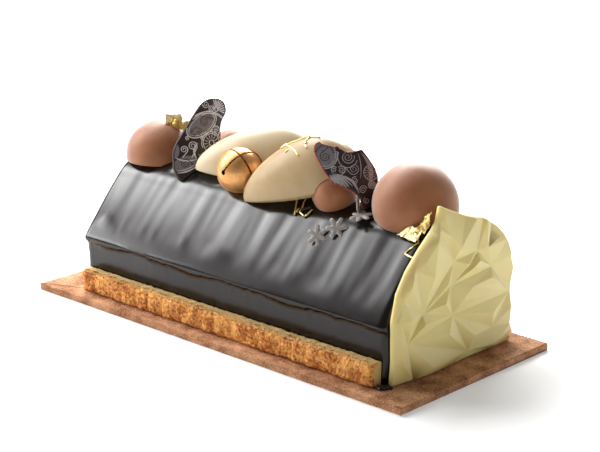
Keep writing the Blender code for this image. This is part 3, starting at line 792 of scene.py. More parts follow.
def weigh_edges(piece):
    """Give the edges round the front rim a full bevel weight and the creases a small one."""
    with opened(piece.data) as shape:
        layer = shape.edges.layers.float.new("bevel_weight_edge")
        for edge in (e for e in shape.edges if len(e.link_faces) == 2):
            facing = [abs(f.normal.x) > 0.4 for f in edge.link_faces]
            edge[layer] = 1.0 if facing[0] != facing[1] else CREASE_WEIGHT


plate = welded_copy("faceted_plate", "end_plate", WHITE)
weigh_edges(plate)
bevel = plate.modifiers.new("melted edges", "BEVEL")
bevel.limit_method = "WEIGHT"
bevel.width = 1.3 * MM
bevel.segments = 3
apply_modifiers(plate)
plate.data.shade_smooth()
plate.data.set_sharp_from_angle(angle=math.radians(50))
put(plate, "white_chocolate", "end_plate")

# %% [markdown]
# ## The biscuit sheet
# The sheet is short cocoa dough, rolled thin, baked and cut while warm.  Cutting tears a few grains
# out of the edge, so the outline wanders by a few tenths of a millimetre.  The face has a sandy
# grain from sugar crystals and is paler where it dried out first.


# %% Baked finishes
def baked(name, light, dark, grain_mm, bump_mm, spread_mm):
    """Dry baked dough: two colours in soft clouds, and a sandy grain."""
    material, tree, place = new_finish(name)
    sand = clouds(tree, place, 1 / (grain_mm * MM), 3.0, 0.65)
    both = maths(tree, "ADD", clouds(tree, place, 1 / (spread_mm * MM), 4.0), sand)
    return shade(material, {
        "Base Color": blend(tree, remap(tree, both, 0.75, 1.25), dark, light),
        "Normal": emboss(tree, sand, 1.0, bump_mm * MM),
        "Roughness": 0.85, "Specular IOR Level": 0.25})


BISCUIT = baked("cocoa_shortbread", "#E2AC82", "#84502F", 0.9, 0.5, 9.0)
GRAINS = baked("shortbread_grains", "#D9A66F", "#A56A3E", 0.5, 0.2, 3.0)

# %% Biscuit shape
BISCUIT_LOW, BISCUIT_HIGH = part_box("biscuit")
BISCUIT_STEP = 0.6 * MM


def biscuit_outline():
    """Points round the sheet at an even spacing, each with its inward direction."""
    corners = [(BISCUIT_LOW.x, BISCUIT_LOW.y), (BISCUIT_HIGH.x, BISCUIT_LOW.y),
               (BISCUIT_HIGH.x, BISCUIT_HIGH.y), (BISCUIT_LOW.x, BISCUIT_HIGH.y)]
    outline = []
    for start, end in pairs([Vector(corner) for corner in corners]):
        steps = round((end - start).length / BISCUIT_STEP)
        inward = Vector((start.y - end.y, end.x - start.x)).normalized()
        outline += [(start.lerp(end, i / steps), inward) for i in range(steps)]
    return outline


def torn(point, height):
    """How far the torn edge has lost grains at this place, in metres."""
    spot = Vector((point.x, point.y, height))
    slow = 0.5 + 0.5 * noise.noise(spot * 160)
    quick = 0.5 + 0.5 * noise.noise(spot * 900)
    return (0.25 * slow + 0.45 * quick ** 2) * MM


BISCUIT_TOP = BISCUIT_HIGH.z
BISCUIT_LEVELS = [(0.0, 0.35), (0.15, 0.05), (0.4, 0.0), (0.6, 0.05), (0.8, 0.0), (0.93, 0.05),
                  (0.985, 0.3), (1.0, 0.7)]      # (share of the height, drawn in by, in mm)
rings = []
for share, inset in BISCUIT_LEVELS:
    height = BISCUIT_TOP * share
    rings.append([(*(p + inward * (torn(p, height) + inset * MM)), height)
                  for p, inward in biscuit_outline()])
biscuit = make_piece("cocoa_biscuit", *loft(rings), BISCUIT)
biscuit.data.set_sharp_from_angle(angle=math.radians(60))
put(biscuit, "biscuit", "biscuit")

# %% [markdown]
# ## The sponge strips
# Each strip was cut from a baked sheet and stood on edge against the log.  Its outer face is the
# browned crust, which shrank into shallow vertical folds and is full of burst bubbles.  The top and
# the ends are cut crumb, pale yellow and open.  One mesh carries both, and a vertex attribute tells
# the finish where the crust ends.


# %% Sponge finish
def baked_sponge():
    """Crust and crumb in one finish, parted by the piece's crust attribute."""
    material, tree, place = new_finish("baked_sponge")
    crust = add(tree, "ShaderNodeAttribute", {"attribute_name": "crust"}).outputs["Fac"]
    speckle = clouds(tree, place, 750.0, 3.0)
    browning = maths(tree, "ADD", clouds(tree, place, 130.0, 5.0), speckle)
    brown = blend(tree, remap(tree, browning, 0.84, 1.14), "#B4642C", "#FFBA68")
    crumb = blend(tree, speckle, "#E3B870", "#FADB9A")
    ragged = maths(tree, "ADD", crust, clouds(tree, place, 900.0, 3.0))
    bubbles = add(tree, "ShaderNodeTexVoronoi", inputs={"Vector": place, "Scale": 620.0})
    return shade(material, {
        "Base Color": blend(tree, remap(tree, ragged, 0.90, 1.10), crumb, brown),
        "Normal": emboss(tree, bubbles.outputs["Distance"], 0.9, 0.8 * MM),
        "Roughness": 0.8, "Specular IOR Level": 0.3, "Subsurface Weight": 0.15,
        "Subsurface Radius": (1.0, 0.6, 0.3), "Subsurface Scale": 1.0 * MM})


SPONGE = baked_sponge()

# %% Sponge shape
SPONGE_STEP = 0.5 * MM
FACE_ROWS = 26
TOP_ROWS = 12
END_RINGS_SPONGE = 8


def sponge_lump(x, z, seed):
    """How far the crust is sunk at x and height z: folds, lumps and burst bubbles."""
    fold = abs(noise.noise(Vector((x * 105, z * 12, seed))))
    lump = noise.noise(Vector((x * 230, z * 200, seed + 3)))
    pit = noise.noise(Vector((x * 900, z * 900, seed + 5)))
    return (1.0 * (1 - fold) ** 6 + 0.7 * (lump + 0.5) + 0.6 * max(0.0, pit)) * MM


def sponge_strip(name, node, seed):
    """A strip in the place of this node; its crust faces away from the log."""
    low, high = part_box(node)
    out = 1 if high.y > LOG_Y else -1
    inner, outer = (low.y, high.y) if out > 0 else (high.y, low.y)
    length, tall = high.x - low.x, high.z - low.z
    rings, crusty = [], []
    count = round(length / SPONGE_STEP)
    xs = [low.x + length * i / count for i in range(count + 1)]
    for x in xs:
        end = min(x - low.x, high.x - x)
        drawn = 1.2 * MM * max(0.0, 1 - end / (1.6 * MM)) ** 2
        ring, mark = [(x, inner, low.z)], [0.0]
        top = high.z - (0.35 + 0.45 * noise.noise(Vector((x * 420, 1.7, seed)))) * MM
        for i in range(FACE_ROWS):
            t = i / (FACE_ROWS - 1)
            z = low.z + (top - low.z) * t
            brow = max(0.0, (t - 0.82) / 0.18) ** 2
            foot = max(0.0, 1 - t / 0.10) ** 2
            roll = 1.7 * MM * brow + 0.7 * MM * foot
            ring.append((x, outer - out * (sponge_lump(x, z, seed) + roll + drawn), z))
            mark.append(1.0)
        start = ring[-1][1]
        for i in range(1, TOP_ROWS + 1):
            t = i / TOP_ROWS
            y = start + (inner - start) * t
            open_crumb = noise.noise(Vector((x * 1100, y * 1100, seed + 9))) * 0.35 * MM
            ring.append((x, y, min(high.z, top - max(0.0, open_crumb))))
            mark.append(max(0.0, 1.1 - t * 2.0))
        rings.append(ring)
        crusty.append(mark)
    for side in (0, -1):                            # the torn ends, row by row to their middle
        edge = rings[side]
        middle = Vector((edge[0][0], (inner + outer) / 2, low.z + tall / 2))
        inward = 1 if side == 0 else -1
        for k in range(1, END_RINGS_SPONGE):
            t = k / END_RINGS_SPONGE
            ring = []
            for p in edge:
                q = Vector(p).lerp(middle, t)
                rough = 0.5 + noise.noise(Vector((q.y * 500, q.z * 500, seed + side)))
                ring.append((q.x + inward * 0.9 * MM * max(0.0, rough) * min(1.0, 3 * t), q.y, q.z))
            place = 0 if side == 0 else len(rings)
            rings.insert(place, ring)
            crusty.insert(place, [0.0] * len(ring))
    strip = make_piece(name, *loft(rings), SPONGE)
    layer = strip.data.attributes.new("crust", "FLOAT", "POINT")
    layer.data.foreach_set("value", [m for mark in crusty for m in mark])
    put(strip, "sponge", node)
    return strip


sponge_strip("sponge_strip_front", "sponge_front", 2.0)
sponge_strip("sponge_strip_back", "sponge_back", 17.0)

# %% [markdown]
# ## Crumbs
# Handling a dry biscuit and a cut sponge always leaves crumbs.  A Geometry Nodes tree scatters them:
# it takes a bed that says where crumbs may lie, spreads points over it, puts a small rough lump on
# each point with its own turn and size, and keeps only the lumps.


# %% Crumb tree
ANY_TURN = (6.28, 6.28, 6.28)    # a whole turn about each axis, in radians


def crumb_tree():
    """Lumps scattered over the given bed, which itself is left out."""
    tree, given = geometry_tree("scatter_crumbs", (
        "Per Square Metre", "Smallest", "Largest", "Roughness"), ("Seed",))
    spread = add(tree, "GeometryNodeDistributePointsOnFaces", {"distribute_method": "RANDOM"}, {
        "Mesh": given["Geometry"], "Density": given["Per Square Metre"], "Seed": given["Seed"]})
    lump = add(tree, "GeometryNodeMeshIcoSphere", inputs={"Radius": 1.0, "Subdivisions": 2})
    turn = add(tree, "FunctionNodeRandomValue", {"data_type": "FLOAT_VECTOR"}, {
        "Max": ANY_TURN, "Seed": given["Seed"]})
    size = add(tree, "FunctionNodeRandomValue", {"data_type": "FLOAT"}, {
        2: given["Smallest"], 3: given["Largest"], "Seed": given["Seed"]})
    placed = add(tree, "GeometryNodeInstanceOnPoints", inputs={
        "Points": spread.outputs["Points"], "Instance": lump.outputs["Mesh"],
        "Rotation": turn.outputs[0], "Scale": size.outputs[1]})
    real = add(tree, "GeometryNodeRealizeInstances", inputs={0: placed.outputs[0]})
    where = add(tree, "GeometryNodeInputPosition").outputs[0]
    wobble = maths(tree, "SUBTRACT", clouds(tree, where, 1900.0, 1.0), 0.5)
    amount = maths(tree, "MULTIPLY", wobble, given["Roughness"])
    return close_tree(tree, push_out(tree, real.outputs[0], amount), given["Finish"])


CRUMBS = crumb_tree()


def crumb_bed(run, width):
    """A strip of faces along a run of points, width wide, facing up."""
    points = []
    for a, b in zip(run, run[1:]):
        side = Vector((a.y - b.y, b.x - a.x, 0)).normalized() * width / 2
        points += [a - side, b - side, b + side, a + side]
    return points, [tuple(range(k, k + 4)) for k in range(0, len(points), 4)]


def scatter(name, slot, run, width, finish, density, smallest, largest, seed):
    """Crumbs along a run of points, as one piece; density is per square metre, sizes are in mm."""
    piece = make_piece(name, *crumb_bed(run, width), finish, smooth=False)
    run_tree(piece, CRUMBS, per_square_metre=density, smallest=smallest * MM,
             largest=largest * MM, roughness=largest * 0.9 * MM, seed=seed, finish=finish)
    put(piece, slot)


# %% Crumbs on the biscuit
def edge_run(inset_mm, height):
    """A closed run round the sheet, this far in from its edge and at this height."""
    run = [Vector((*(p + inward * inset_mm * MM), height)) for p, inward in biscuit_outline()]
    return [*run, run[0]]


def strip_run(ends_mm, forward, height):
    """A run along the front strip, drawn in at its ends."""
    return [Vector((x, strip_low.y + forward, height))
            for x in (strip_low.x + ends_mm * MM, strip_high.x - ends_mm * MM)]


strip_low, strip_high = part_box("sponge_front")
top_edge = edge_run(0.6, BISCUIT_TOP)
scatter("biscuit_edge_grains", "biscuit", top_edge, 0.9 * MM, GRAINS, 1.1e6, 0.10, 0.28, 5)
side = edge_run(0.4, BISCUIT_TOP * 0.5)
scatter("biscuit_side_grains", "biscuit", side, 0.2 * MM, GRAINS, 2.6e6, 0.10, 0.30, 6)
foot = strip_run(0, -0.6 * MM, BISCUIT_TOP + 0.1 * MM)
scatter("fallen_crumbs", "sponge", foot, 2.4 * MM, SPONGE, 9.0e4, 0.12, 0.40, 8)
brow = strip_run(1, 2.2 * MM, strip_high.z - 0.5 * MM)
scatter("cut_crumbs", "sponge", brow, 2.6 * MM, SPONGE, 2.2e6, 0.14, 0.42, 9)

# %% [markdown]
# ## Printed chocolate shards
# Dark chocolate was spread on a transfer sheet and bent while it set, then snapped.  Each shard is
# drawn flat as an outline, filled with points and bent onto the roof.  Its rim is rounded, and where
# it is thin and broken the light comes through it red.

# %% Shard outlines
SHARD_THICK = 1.8 * MM
SHARD_LEAN = math.radians(16.7)
SHARD_ROUND = 0.25 * MM
SHARD_GRID = 1.1 * MM
# Each outline is (along the width, up) in millimetres, from the shard's own foot.
SHARD_LEFT = {
    "foot": Vector((-55.6, -14.1, 61.8)) * MM, "turn": math.radians(73), "bulge": 3.4 * MM,
    "outline": [(3.0, -3.0), (-1.5, 3.5), (-1.8, 10.0), (-0.6, 16.5), (5.3, 24.5), (13.5, 33.9),
                (19.0, 38.0), (25.5, 38.5), (30.4, 36.0), (30.8, 31.0), (26.5, 26.0), (24.7, 19.0),
                (21.0, 10.0), (12.0, 1.5)]}
SHARD_RIGHT = {
    "foot": Vector((54.6, -4.3, 66.4)) * MM, "turn": math.radians(54), "bulge": 2.2 * MM,
    "outline": [(1.0, -4.0), (6.0, -4.0), (7.8, 4.0), (8.6, 11.0), (8.4, 15.7), (7.4, 18.9),
                (4.7, 23.3), (1.5, 27.8), (-1.3, 27.4), (-4.6, 26.9), (-6.8, 27.5), (-9.2, 28.8),
                (-10.1, 30.0), (-11.3, 29.6), (-16.7, 31.3), (-18.1, 32.4), (-19.7, 31.6),
                (-20.4, 30.1), (-20.4, 27.9), (-19.6, 25.0), (-16.8, 19.0), (-12.9, 12.5),
                (-10.5, 12.1), (-4.5, 9.0), (-1.9, 7.0), (-0.3, 4.8)]}


def smooth_curve(points):
    """A closed curve through the points, with one more point halfway along each stretch."""
    count = len(points)
    curve = []
    for i in range(count):
        before, here, there, after = (points[(i + k) % count] for k in (-1, 0, 1, 2))
        curve += [here, (here + there) * 0.5625 - (before + after) * 0.0625]
    return curve


def snapped(points):
    """The same outline in short steps that waver, as a break does."""
    curve = []
    for a, b in pairs(points):
        steps = max(1, round((b - a).length / (0.7 * MM)))
        side = Vector((b.y - a.y, a.x - b.x)).normalized()
        for i in range(steps):
            p = a.lerp(b, i / steps)
            curve.append(p + side * noise.noise(Vector((p.x * 900, p.y * 900, 0))) * 0.16 * MM)
    return curve


for shard in (SHARD_LEFT, SHARD_RIGHT):
    shard["outline"] = [Vector(p) * MM for p in shard["outline"]]
    shard["left"] = min(p.x for p in shard["outline"])
    shard["half"] = (max(p.x for p in shard["outline"]) - shard["left"]) / 2
SHARD_LEFT["outline"] = smooth_curve(smooth_curve(SHARD_LEFT["outline"]))
SHARD_RIGHT["outline"] = snapped(SHARD_RIGHT["outline"])


# %% Shard shape
def on_shard(shard, p, depth):
    """The place of a point of the flat drawing on the bent shard, this deep behind its face."""
    turn = (Matrix.Rotation(shard["turn"], 3, "Z") @ Matrix.Rotation(-SHARD_LEAN, 3, "X"))
    bend = shard["bulge"] * (1 - ((p.x - shard["left"]) / shard["half"] - 1) ** 2)
    return shard["foot"] + turn @ Vector((p.x, depth - bend, p.y))


def is_inside(p, outline):
    """Whether a point lies inside a closed outline."""
    inside = False
    for a, b in pairs(outline):
        if (a.y > p.y) != (b.y > p.y) and p.x < a.x + (p.y - a.y) * (b.x - a.x) / (b.y - a.y):
            inside = not inside
    return inside


def drawn_in(outline, amount):
    """The outline moved inwards; it must run anticlockwise or clockwise throughout."""
    area = sum(a.x * b.y - b.x * a.y for a, b in pairs(outline))
    sense = 1 if area > 0 else -1
    count = len(outline)
    moved = []
    for i, p in enumerate(outline):
        along = outline[(i + 1) % count] - outline[i - 1]
        moved.append(p + Vector((-along.y, along.x)).normalized() * amount * sense)
    return moved


def filled(outline, spacing):
    """Points of the outline, points inside it, and the faces that fill it."""
    low = Vector((min(p.x for p in outline), min(p.y for p in outline)))
    high = Vector((max(p.x for p in outline), max(p.y for p in outline)))
    inside = []
    for i in range(1, int((high.x - low.x) / spacing) + 1):
        for j in range(1, int((high.y - low.y) / spacing) + 1):
            p = Vector((low.x + spacing * i, low.y + spacing * (j + 0.5 * (i % 2))))
            if is_inside(p, outline) and min((p - q).length for q in outline) > 0.5 * spacing:
                inside.append(p)
    rim = pairs(list(range(len(outline))))
    flat, _, faces, _, _, _ = delaunay_2d_cdt(outline + inside, rim, [], 1, 1e-7)
    return list(flat), [tuple(f) for f in faces]


def sheet_on_shard(shard, outline, front, back, roundness, spacing):
    """Points and faces of a closed sheet between two depths, with a rounded rim."""
    small = drawn_in(outline, roundness) if roundness else outline
    flat, faces = filled(small, spacing)
    count, rim = len(flat), len(outline)
    points = [on_shard(shard, p, front) for p in flat] + [on_shard(shard, p, back) for p in flat]
    skin = list(faces) + [tuple(i + count for i in reversed(f)) for f in faces]
    loops = [list(range(rim))]
    if roundness:
        for depth in (front + roundness, back - roundness):
            loops.append(list(range(len(points), len(points) + rim)))
            points += [on_shard(shard, p, depth) for p in outline]
    loops.append([i + count for i in range(rim)])
    sides = len(skin)
    for near, far in zip(loops, loops[1:]):
        skin += [(near[i], near[(i + 1) % rim], far[(i + 1) % rim], far[i]) for i in range(rim)]
    return points, skin, sides


def thin_edge():
    """Thin dark chocolate with light behind it: the same food, but red-brown and translucent."""
    material, _, _ = new_finish("thin_chocolate_edge")
    return shade(material, {
        "Base Color": srgb("#A23A16"), "Roughness": 0.4, "Subsurface Weight": 0.5,
        "Subsurface Radius": (1.0, 0.25, 0.08), "Subsurface Scale": 1.5 * MM})


THIN_EDGE = thin_edge()
for name, node, shard in (("printed_shard_left", "shard_left", SHARD_LEFT),
                          ("printed_shard_right", "shard_right", SHARD_RIGHT)):
    points, faces, sides = sheet_on_shard(
        shard, shard["outline"], 0.0, SHARD_THICK, SHARD_ROUND, SHARD_GRID)
    piece = make_piece(name, points, faces, DARK)
    if node == "shard_right":
        piece.data.materials.append(THIN_EDGE)
        for face in piece.data.polygons:
            if face.index >= sides:
                face.material_index = 1
    put(piece, "printed_chocolate", node)

# %% [markdown]
# ## The print
# The pattern is cocoa butter with silver pigment, printed on the sheet and left on the chocolate:
# scrolls, fans and leaf fields in the manner of old paisley.  The drawing here is made from five
# motifs, each a short function that returns strokes.  A stroke is a line with a width at every
# point.  `lay` keeps what is inside the shard and turns it into a thin raised skin on its face.
# `lay_fields` does the same with whole leaves, and dark scrolls then lie on the pale fields.


# %% Motifs
def polar(middle, radius, angle):
    """A point round a middle, in millimetres and radians."""
    return Vector((middle[0] + radius * math.cos(angle), middle[1] + radius * math.sin(angle)))


def oval_point(middle, radii, turn, angle):
    """A point on an ellipse that is turned about its middle."""
    return Vector(middle) + turn @ Vector((radii[0] * math.cos(angle), radii[1] * math.sin(angle)))


def spiral(middle, radius, turns=2.1, start=0.0, sense=1, width=0.42, tail=0.0):
    """A scroll that winds inwards; tail draws its outer end out straight."""
    count = 44
    points = []
    for i in range(count + 1):
        t = i / count
        points.append(polar(middle, radius * (1 - 0.86 * t ** 0.9),
                            start + sense * 2 * math.pi * turns * t))
    if tail:
        way = (points[0] - points[1]).normalized()
        points = [points[0] + way * tail * (1 - k / 6) for k in range(6)] + points
    return [(points, [width * (1 - 0.45 * i / len(points)) for i in range(len(points))])]


def arc(middle, radii, first, last, tilt=0.0, width=0.42):
    """Part of an ellipse, between two angles in degrees."""
    count = 40
    turn = Matrix.Rotation(math.radians(tilt), 2)
    points = [oval_point(middle, radii, turn, math.radians(first + (last - first) * i / count))
              for i in range(count + 1)]
    return [(points, [width] * len(points))]


def fan(middle, inner, outer, first, last, count, width=0.55):
    """Teeth that widen outwards, spread between two angles in degrees."""
    strokes = []
    for i in range(count):
        angle = math.radians(first + (last - first) * i / max(1, count - 1))
        points = [polar(middle, inner + (outer - inner) * k / 8, angle) for k in range(9)]
        strokes.append((points, [width * (0.35 + 0.65 * k / 8) for k in range(9)]))
    return strokes


def curl(start, end, bow, width=0.6):
    """A single curved leaf stroke, thick in the middle."""
    a, b = Vector(start), Vector(end)
    side = Vector((a.y - b.y, b.x - a.x)).normalized()
    count = 16
    points = [a.lerp(b, i / count) + side * bow * math.sin(math.pi * i / count)
              for i in range(count + 1)]
    return [(points, [width * (0.25 + 0.75 * math.sin(math.pi * i / count))
                      for i in range(count + 1)])]


def rosette(middle, radius, petals):
    """Rings with a fan of teeth between them."""
    teeth = fan(middle, radius * 0.42, radius * 0.86, 0, 360 * (1 - 1 / petals), petals, 0.35)
    return [*arc(middle, (radius, radius), 0, 360),
            *arc(middle, (radius * 0.3, radius * 0.3), 0, 360), *teeth]


# %% Lay the print on a shard
PRINT_RISE = 0.05 * MM
FIELD_RISE = 0.02 * MM
PRINT_BURIED = 0.05 * MM
PRINT_MARGIN = 0.45 * MM         # from the shard's rim


def print_finish(name, colour):
    """Cocoa butter with pearl pigment, a little worn, set flush on the chocolate."""
    material, tree, place = new_finish(name)
    fade = remap(tree, clouds(tree, place, 700.0, 3.0), 0.25, 0.42)
    return shade(material, {
        "Base Color": blend(tree, fade, "#4A3A3C", colour), "Roughness": 0.5, "Metallic": 0.15})


SILVER = print_finish("silver_cocoa_butter", "#DAD6D8")
# A darker copy of the same silver print, for the right shard's lines: painted shade, as that shard
# stands in shade.
SILVER_IN_SHADE = print_finish("thin_silver_cocoa_butter", "#B3ADB0")
FAINT = print_finish("faint_silver_cocoa_butter", "#7E777B")


def lay(name, shard, finish, motifs):
    """The motifs' strokes as thin closed ribbons on the shard's face, cut off near its rim."""
    border = drawn_in(shard["outline"], PRINT_MARGIN)
    ribbons = []
    for line, widths in (stroke for motif in motifs for stroke in motif):
        kept = [is_inside(p * MM, border) for p in line]
        for inside, group in itertools.groupby(range(len(line)), key=lambda i: kept[i]):
            run = list(group)
            if not inside or len(run) < 3:
                continue
            rings = []
            for i in run:
                ahead = ahead_of(line, i)
                side = Vector((-ahead.y, ahead.x)).normalized() * widths[i] / 2
                left, right = (line[i] + side) * MM, (line[i] - side) * MM
                rings.append([on_shard(shard, left, -PRINT_RISE),
                              on_shard(shard, right, -PRINT_RISE),
                              on_shard(shard, right, PRINT_BURIED),
                              on_shard(shard, left, PRINT_BURIED)])
            ribbons.append(loft(rings))
    put(make_piece(name, *joined(ribbons), finish, smooth=False), "printed_chocolate")


def field(shard, middle, radii, tilt):
    """A filled leaf field: the ellipse, cut to the shard's outline, as points and faces."""
    turn = Matrix.Rotation(math.radians(tilt), 2)
    shape = drawn_in(shard["outline"], PRINT_MARGIN)
    oval = [oval_point(middle, radii, turn, a) * MM for a in full_turn(48)]
    for a, b in pairs(oval):                        # keep what is left of each side of the oval
        kept = []
        for p, q in pairs(shape):
            here = (b - a).cross(p - a)
            there = (b - a).cross(q - a)
            if here >= 0:
                kept.append(p)
            if (here >= 0) != (there >= 0):
                kept.append(p.lerp(q, here / (here - there)))
        shape = kept
    apart = [p for p, q in pairs(shape) if (p - q).length > 0.02 * MM]
    return sheet_on_shard(shard, apart, -FIELD_RISE, PRINT_BURIED, 0.0, SHARD_GRID)[:2]


def lay_fields(name, shard, fields):
    """Leaf fields as one thin grey piece on the shard's face."""
    skins = joined(field(shard, *numbers) for numbers in fields)
    put(make_piece(name, *skins, FAINT, smooth=False), "printed_chocolate")


# %% The left shard's print
lay_fields("left_print_fields", SHARD_LEFT, [
    ((15.0, 26.3), (9.0, 4.7), 27), ((24.8, 34.8), (2.6, 2.0), 20),
    ((3.4, 8.2), (6.2, 3.6), 12), ((-0.2, 15.0), (1.7, 3.6), -8)])
lay("left_print_lines", SHARD_LEFT, SILVER, [
    spiral((18.6, 36.0), 2.1, 1.7, 2.6), spiral((21.3, 33.9), 1.8, 1.8, 0.4, -1),
    fan((24.4, 33.0), 1.4, 5.4, -25, 100, 10), arc((24.4, 33.0), (1.1, 1.1), 0, 360),
    arc((18.0, 22.0), (12.6, 10.4), 28, 128), arc((18.0, 21.2), (12.6, 10.4), 30, 126),
    arc((15.0, 26.3), (9.4, 5.1), 0, 360, 27, 0.5),
    arc((15.0, 26.3), (8.2, 4.0), 0, 360, 27, 0.3),
    rosette((18.7, 16.6), 4.7, 14), rosette((22.3, 22.4), 2.4, 9),
    arc((18.7, 16.6), (5.6, 5.6), 20, 200), spiral((14.2, 19.6), 1.3, 1.5, 2.0),
    spiral((3.8, 15.2), 2.0, 1.9, 5.2, 1, 0.5, 3.0),
    spiral((8.2, 16.4), 2.5, 2.0, 5.4, 1, 0.55, 5.0), spiral((6.2, 20.4), 1.1, 1.6, 1.0),
    curl((11.0, 17.5), (9.4, 9.6), -1.6, 1.1), curl((9.4, 9.6), (-0.8, 11.6), 1.2, 0.8),
    curl((10.6, 12.0), (12.4, 5.4), 0.8, 0.9), curl((-1.6, 4.2), (9.2, 6.4), -1.0, 0.7),
    curl((-1.2, 5.2), (9.0, 7.6), -0.9, 0.4), fan((13.6, 9.6), 1.0, 3.0, 30, 200, 8, 0.4)])
lay("left_print_gaps", SHARD_LEFT, DARK, [
    fan((9.4, 22.6), 0.5, 2.0, 100, 320, 8, 0.5), fan((13.0, 22.3), 0.3, 1.5, 40, 260, 6, 0.4),
    fan((19.6, 29.4), 0.4, 1.7, 0, 300, 8, 0.4),
    spiral((16.4, 27.6), 2.6, 2.1, 1.0, 1, 0.4, 6.0), curl((9.4, 24.6), (14.6, 23.4), 0.9, 0.35),
    spiral((3.4, 8.2), 2.4, 1.9, 0.5, 1, 0.4, 3.0)])

# %% The right shard's print
lay_fields("right_print_fields", SHARD_RIGHT, [
    ((-15.9, 26.6), (5.2, 6.2), 10), ((-10.2, 14.2), (5.0, 1.5), -32),
    ((5.2, 11.6), (1.9, 1.7), 0)])
# The right shard's lines use the darker copy of the silver: painted shade.
lay("right_print_lines", SHARD_RIGHT, SILVER_IN_SHADE, [
    arc((-15.9, 26.6), (5.6, 6.6), 0, 360, 10, 0.5),
    arc((-15.9, 26.6), (4.7, 5.6), 180, 420, 10, 0.3),
    spiral((-5.6, 24.7), 3.2, 2.3, 0.2, -1, 0.38),
    arc((-5.6, 24.7), (4.6, 4.8), 150, 340, 0, 0.36),
    spiral((-12.2, 19.3), 1.5, 1.8, 0.6), spiral((-8.7, 19.0), 1.9, 1.9, 2.4, -1),
    curl((-13.6, 18.2), (-6.6, 18.6), -1.9, 0.4),
    spiral((-3.0, 19.2), 2.7, 2.1, 3.6, 1, 0.36, 2.5),
    *[curl((-14.9 + 0.5 * k, 16.0 + 0.25 * k),
           (-11.5 + 1.5 * k, 11.6 - 0.55 * k + 0.1 * k * k), 0.7, 0.7) for k in range(7)],
    curl((-7.4, 16.2), (-1.2, 8.0), 1.1, 1.1), spiral((-2.8, 13.9), 1.8, 1.9, 1.2),
    spiral((0.8, 9.6), 2.0, 2.0, 0.2), spiral((2.2, 4.6), 1.6, 1.7, 2.0),
    curl((-0.9, 27.0), (-0.2, 14.6), 0.9, 0.4),
    *[curl((0.3 + 0.7 * k, 27.0 - 0.6 * k), (3.4 + 0.6 * k, 10.4 + 0.5 * k), 2.3 - 0.1 * k, 0.36)
      for k in range(4)],
    rosette((5.1, 17.2), 3.5, 14), rosette((5.2, 11.6), 1.7, 9)])
lay("right_print_gaps", SHARD_RIGHT, DARK, [
    fan((-15.9, 26.4), 3.3, 4.6, 10, 170, 15, 0.5),
    spiral((-15.8, 25.4), 2.4, 2.0, 2.0, 1, 0.4, 4.0)])

# %% [markdown]
# ## Sugar snowflakes
# These are pressed sugar dusted with silver.  Each petal is a little pillow, and the press leaves
# the surface slightly rough.


# %% Snowflakes
def silvered_sugar():
    """Pressed sugar under silver dust: pale warm grey, dull metal."""
    material, tree, place = new_finish("silvered_sugar")
    grains = clouds(tree, place, 1500.0, 3.0)
    return shade(material, {
        "Base Color": blend(tree, grains, "#8A837E", "#C8C2BC"), "Roughness": 0.5,
        "Metallic": 0.35, "Normal": emboss(tree, grains, 0.8, 0.25 * MM)})


SUGAR = silvered_sugar()
FLAKE_RADIUS = 4.0 * MM
FLAKE_LOBE = 1.2 * MM
FLAKE_THICK = 1.1 * MM
FLAKE_SEGMENTS = 120
FLAKE_NOTCH = 2.2                # how sharply one petal parts from the next
FLAKE_RIB = 0.16                 # how far a petal stands above the notch beside it
FLAKE_STEPS = [(0.12, 1.0), (0.35, 1.0), (0.6, 0.96), (0.8, 0.85), (0.93, 0.6), (1.0, 0.15)]
FLAKES = [      # the middle in millimetres, where it faces, its turn
    ((43.4, -21.6, 56.2), (0.36, -0.73, 0.45), 0.0),
    ((51.5, -17.9, 60.7), (0.39, -0.72, 0.44), 0.5),
    ((60.8, -12.0, 66.9), (0.0, -0.20, 0.98), 0.15),
    ((55.6, -7.9, 69.6), (0.80, 0.58, 0.15), 0.45)]


def snowflake(middle, facing, spin):
    """Points and faces of a six-petalled pillow."""
    facing = Vector(facing).normalized()
    side = facing.orthogonal().normalized()
    other = facing.cross(side)
    steps = [(share, -level) for share, level in FLAKE_STEPS]
    steps += list(reversed(FLAKE_STEPS))
    rings = []
    for share, level in steps:
        ring = []
        for angle in full_turn(FLAKE_SEGMENTS):
            petal = math.cos(6 * angle)
            reach = (FLAKE_RADIUS + FLAKE_LOBE * math.tanh(FLAKE_NOTCH * petal)) * share
            rib = 1 + FLAKE_RIB * petal * share * (1 if level > 0 else -1)
            flat = side * math.cos(angle + spin) + other * math.sin(angle + spin)
            place = Vector(middle) * MM + flat * reach
            ring.append(place + facing * FLAKE_THICK / 2 * level * rib)
        rings.append(ring)
    return loft(rings)


for number, (middle, facing, spin) in enumerate(FLAKES, 1):
    piece = make_piece(f"sugar_flake_{number}", *snowflake(middle, facing, spin), SUGAR)
    put(piece, "silver_sugar", f"snowflake_{number}")

# %% [markdown]
# ## Gold leaf and gold strands
# Leaf is beaten so thin that a breath crumples it.  Here a sheet is a grid stretched between four
# corners, folded by ridged noise and given just enough thickness to be closed.  The strands are
# thin bars of gilded sugar that snapped into short straight lengths.


# %% Gold finishes and shapes
def gold_leaf(name, colour, roughness):
    """Real gold, with the tiny creases that turn it from bright to dark within a millimetre."""
    material, tree, place = new_finish(name)
    creases = clouds(tree, place, 800.0, 3.0)
    return shade(material, {
        "Base Color": srgb(colour), "Roughness": roughness, "Metallic": 1.0,
        "Normal": emboss(tree, creases, 0.7, 0.3 * MM)})


LEAF = gold_leaf("gold_leaf", "#F9DE94", 0.34)
# The flat sheets take a paler, rougher gold: the rougher gloss is real, and the paler colour is a
# painted highlight for the near-white light they mirror.
PALE_LEAF = gold_leaf("gold_leaf_on_edge", "#F8E6B0", 0.5)
LEAF_THICK = 0.06 * MM
LEAF_SEED = 5
noise.seed_set(LEAF_SEED)        # vector noise would otherwise take its seed from the clock


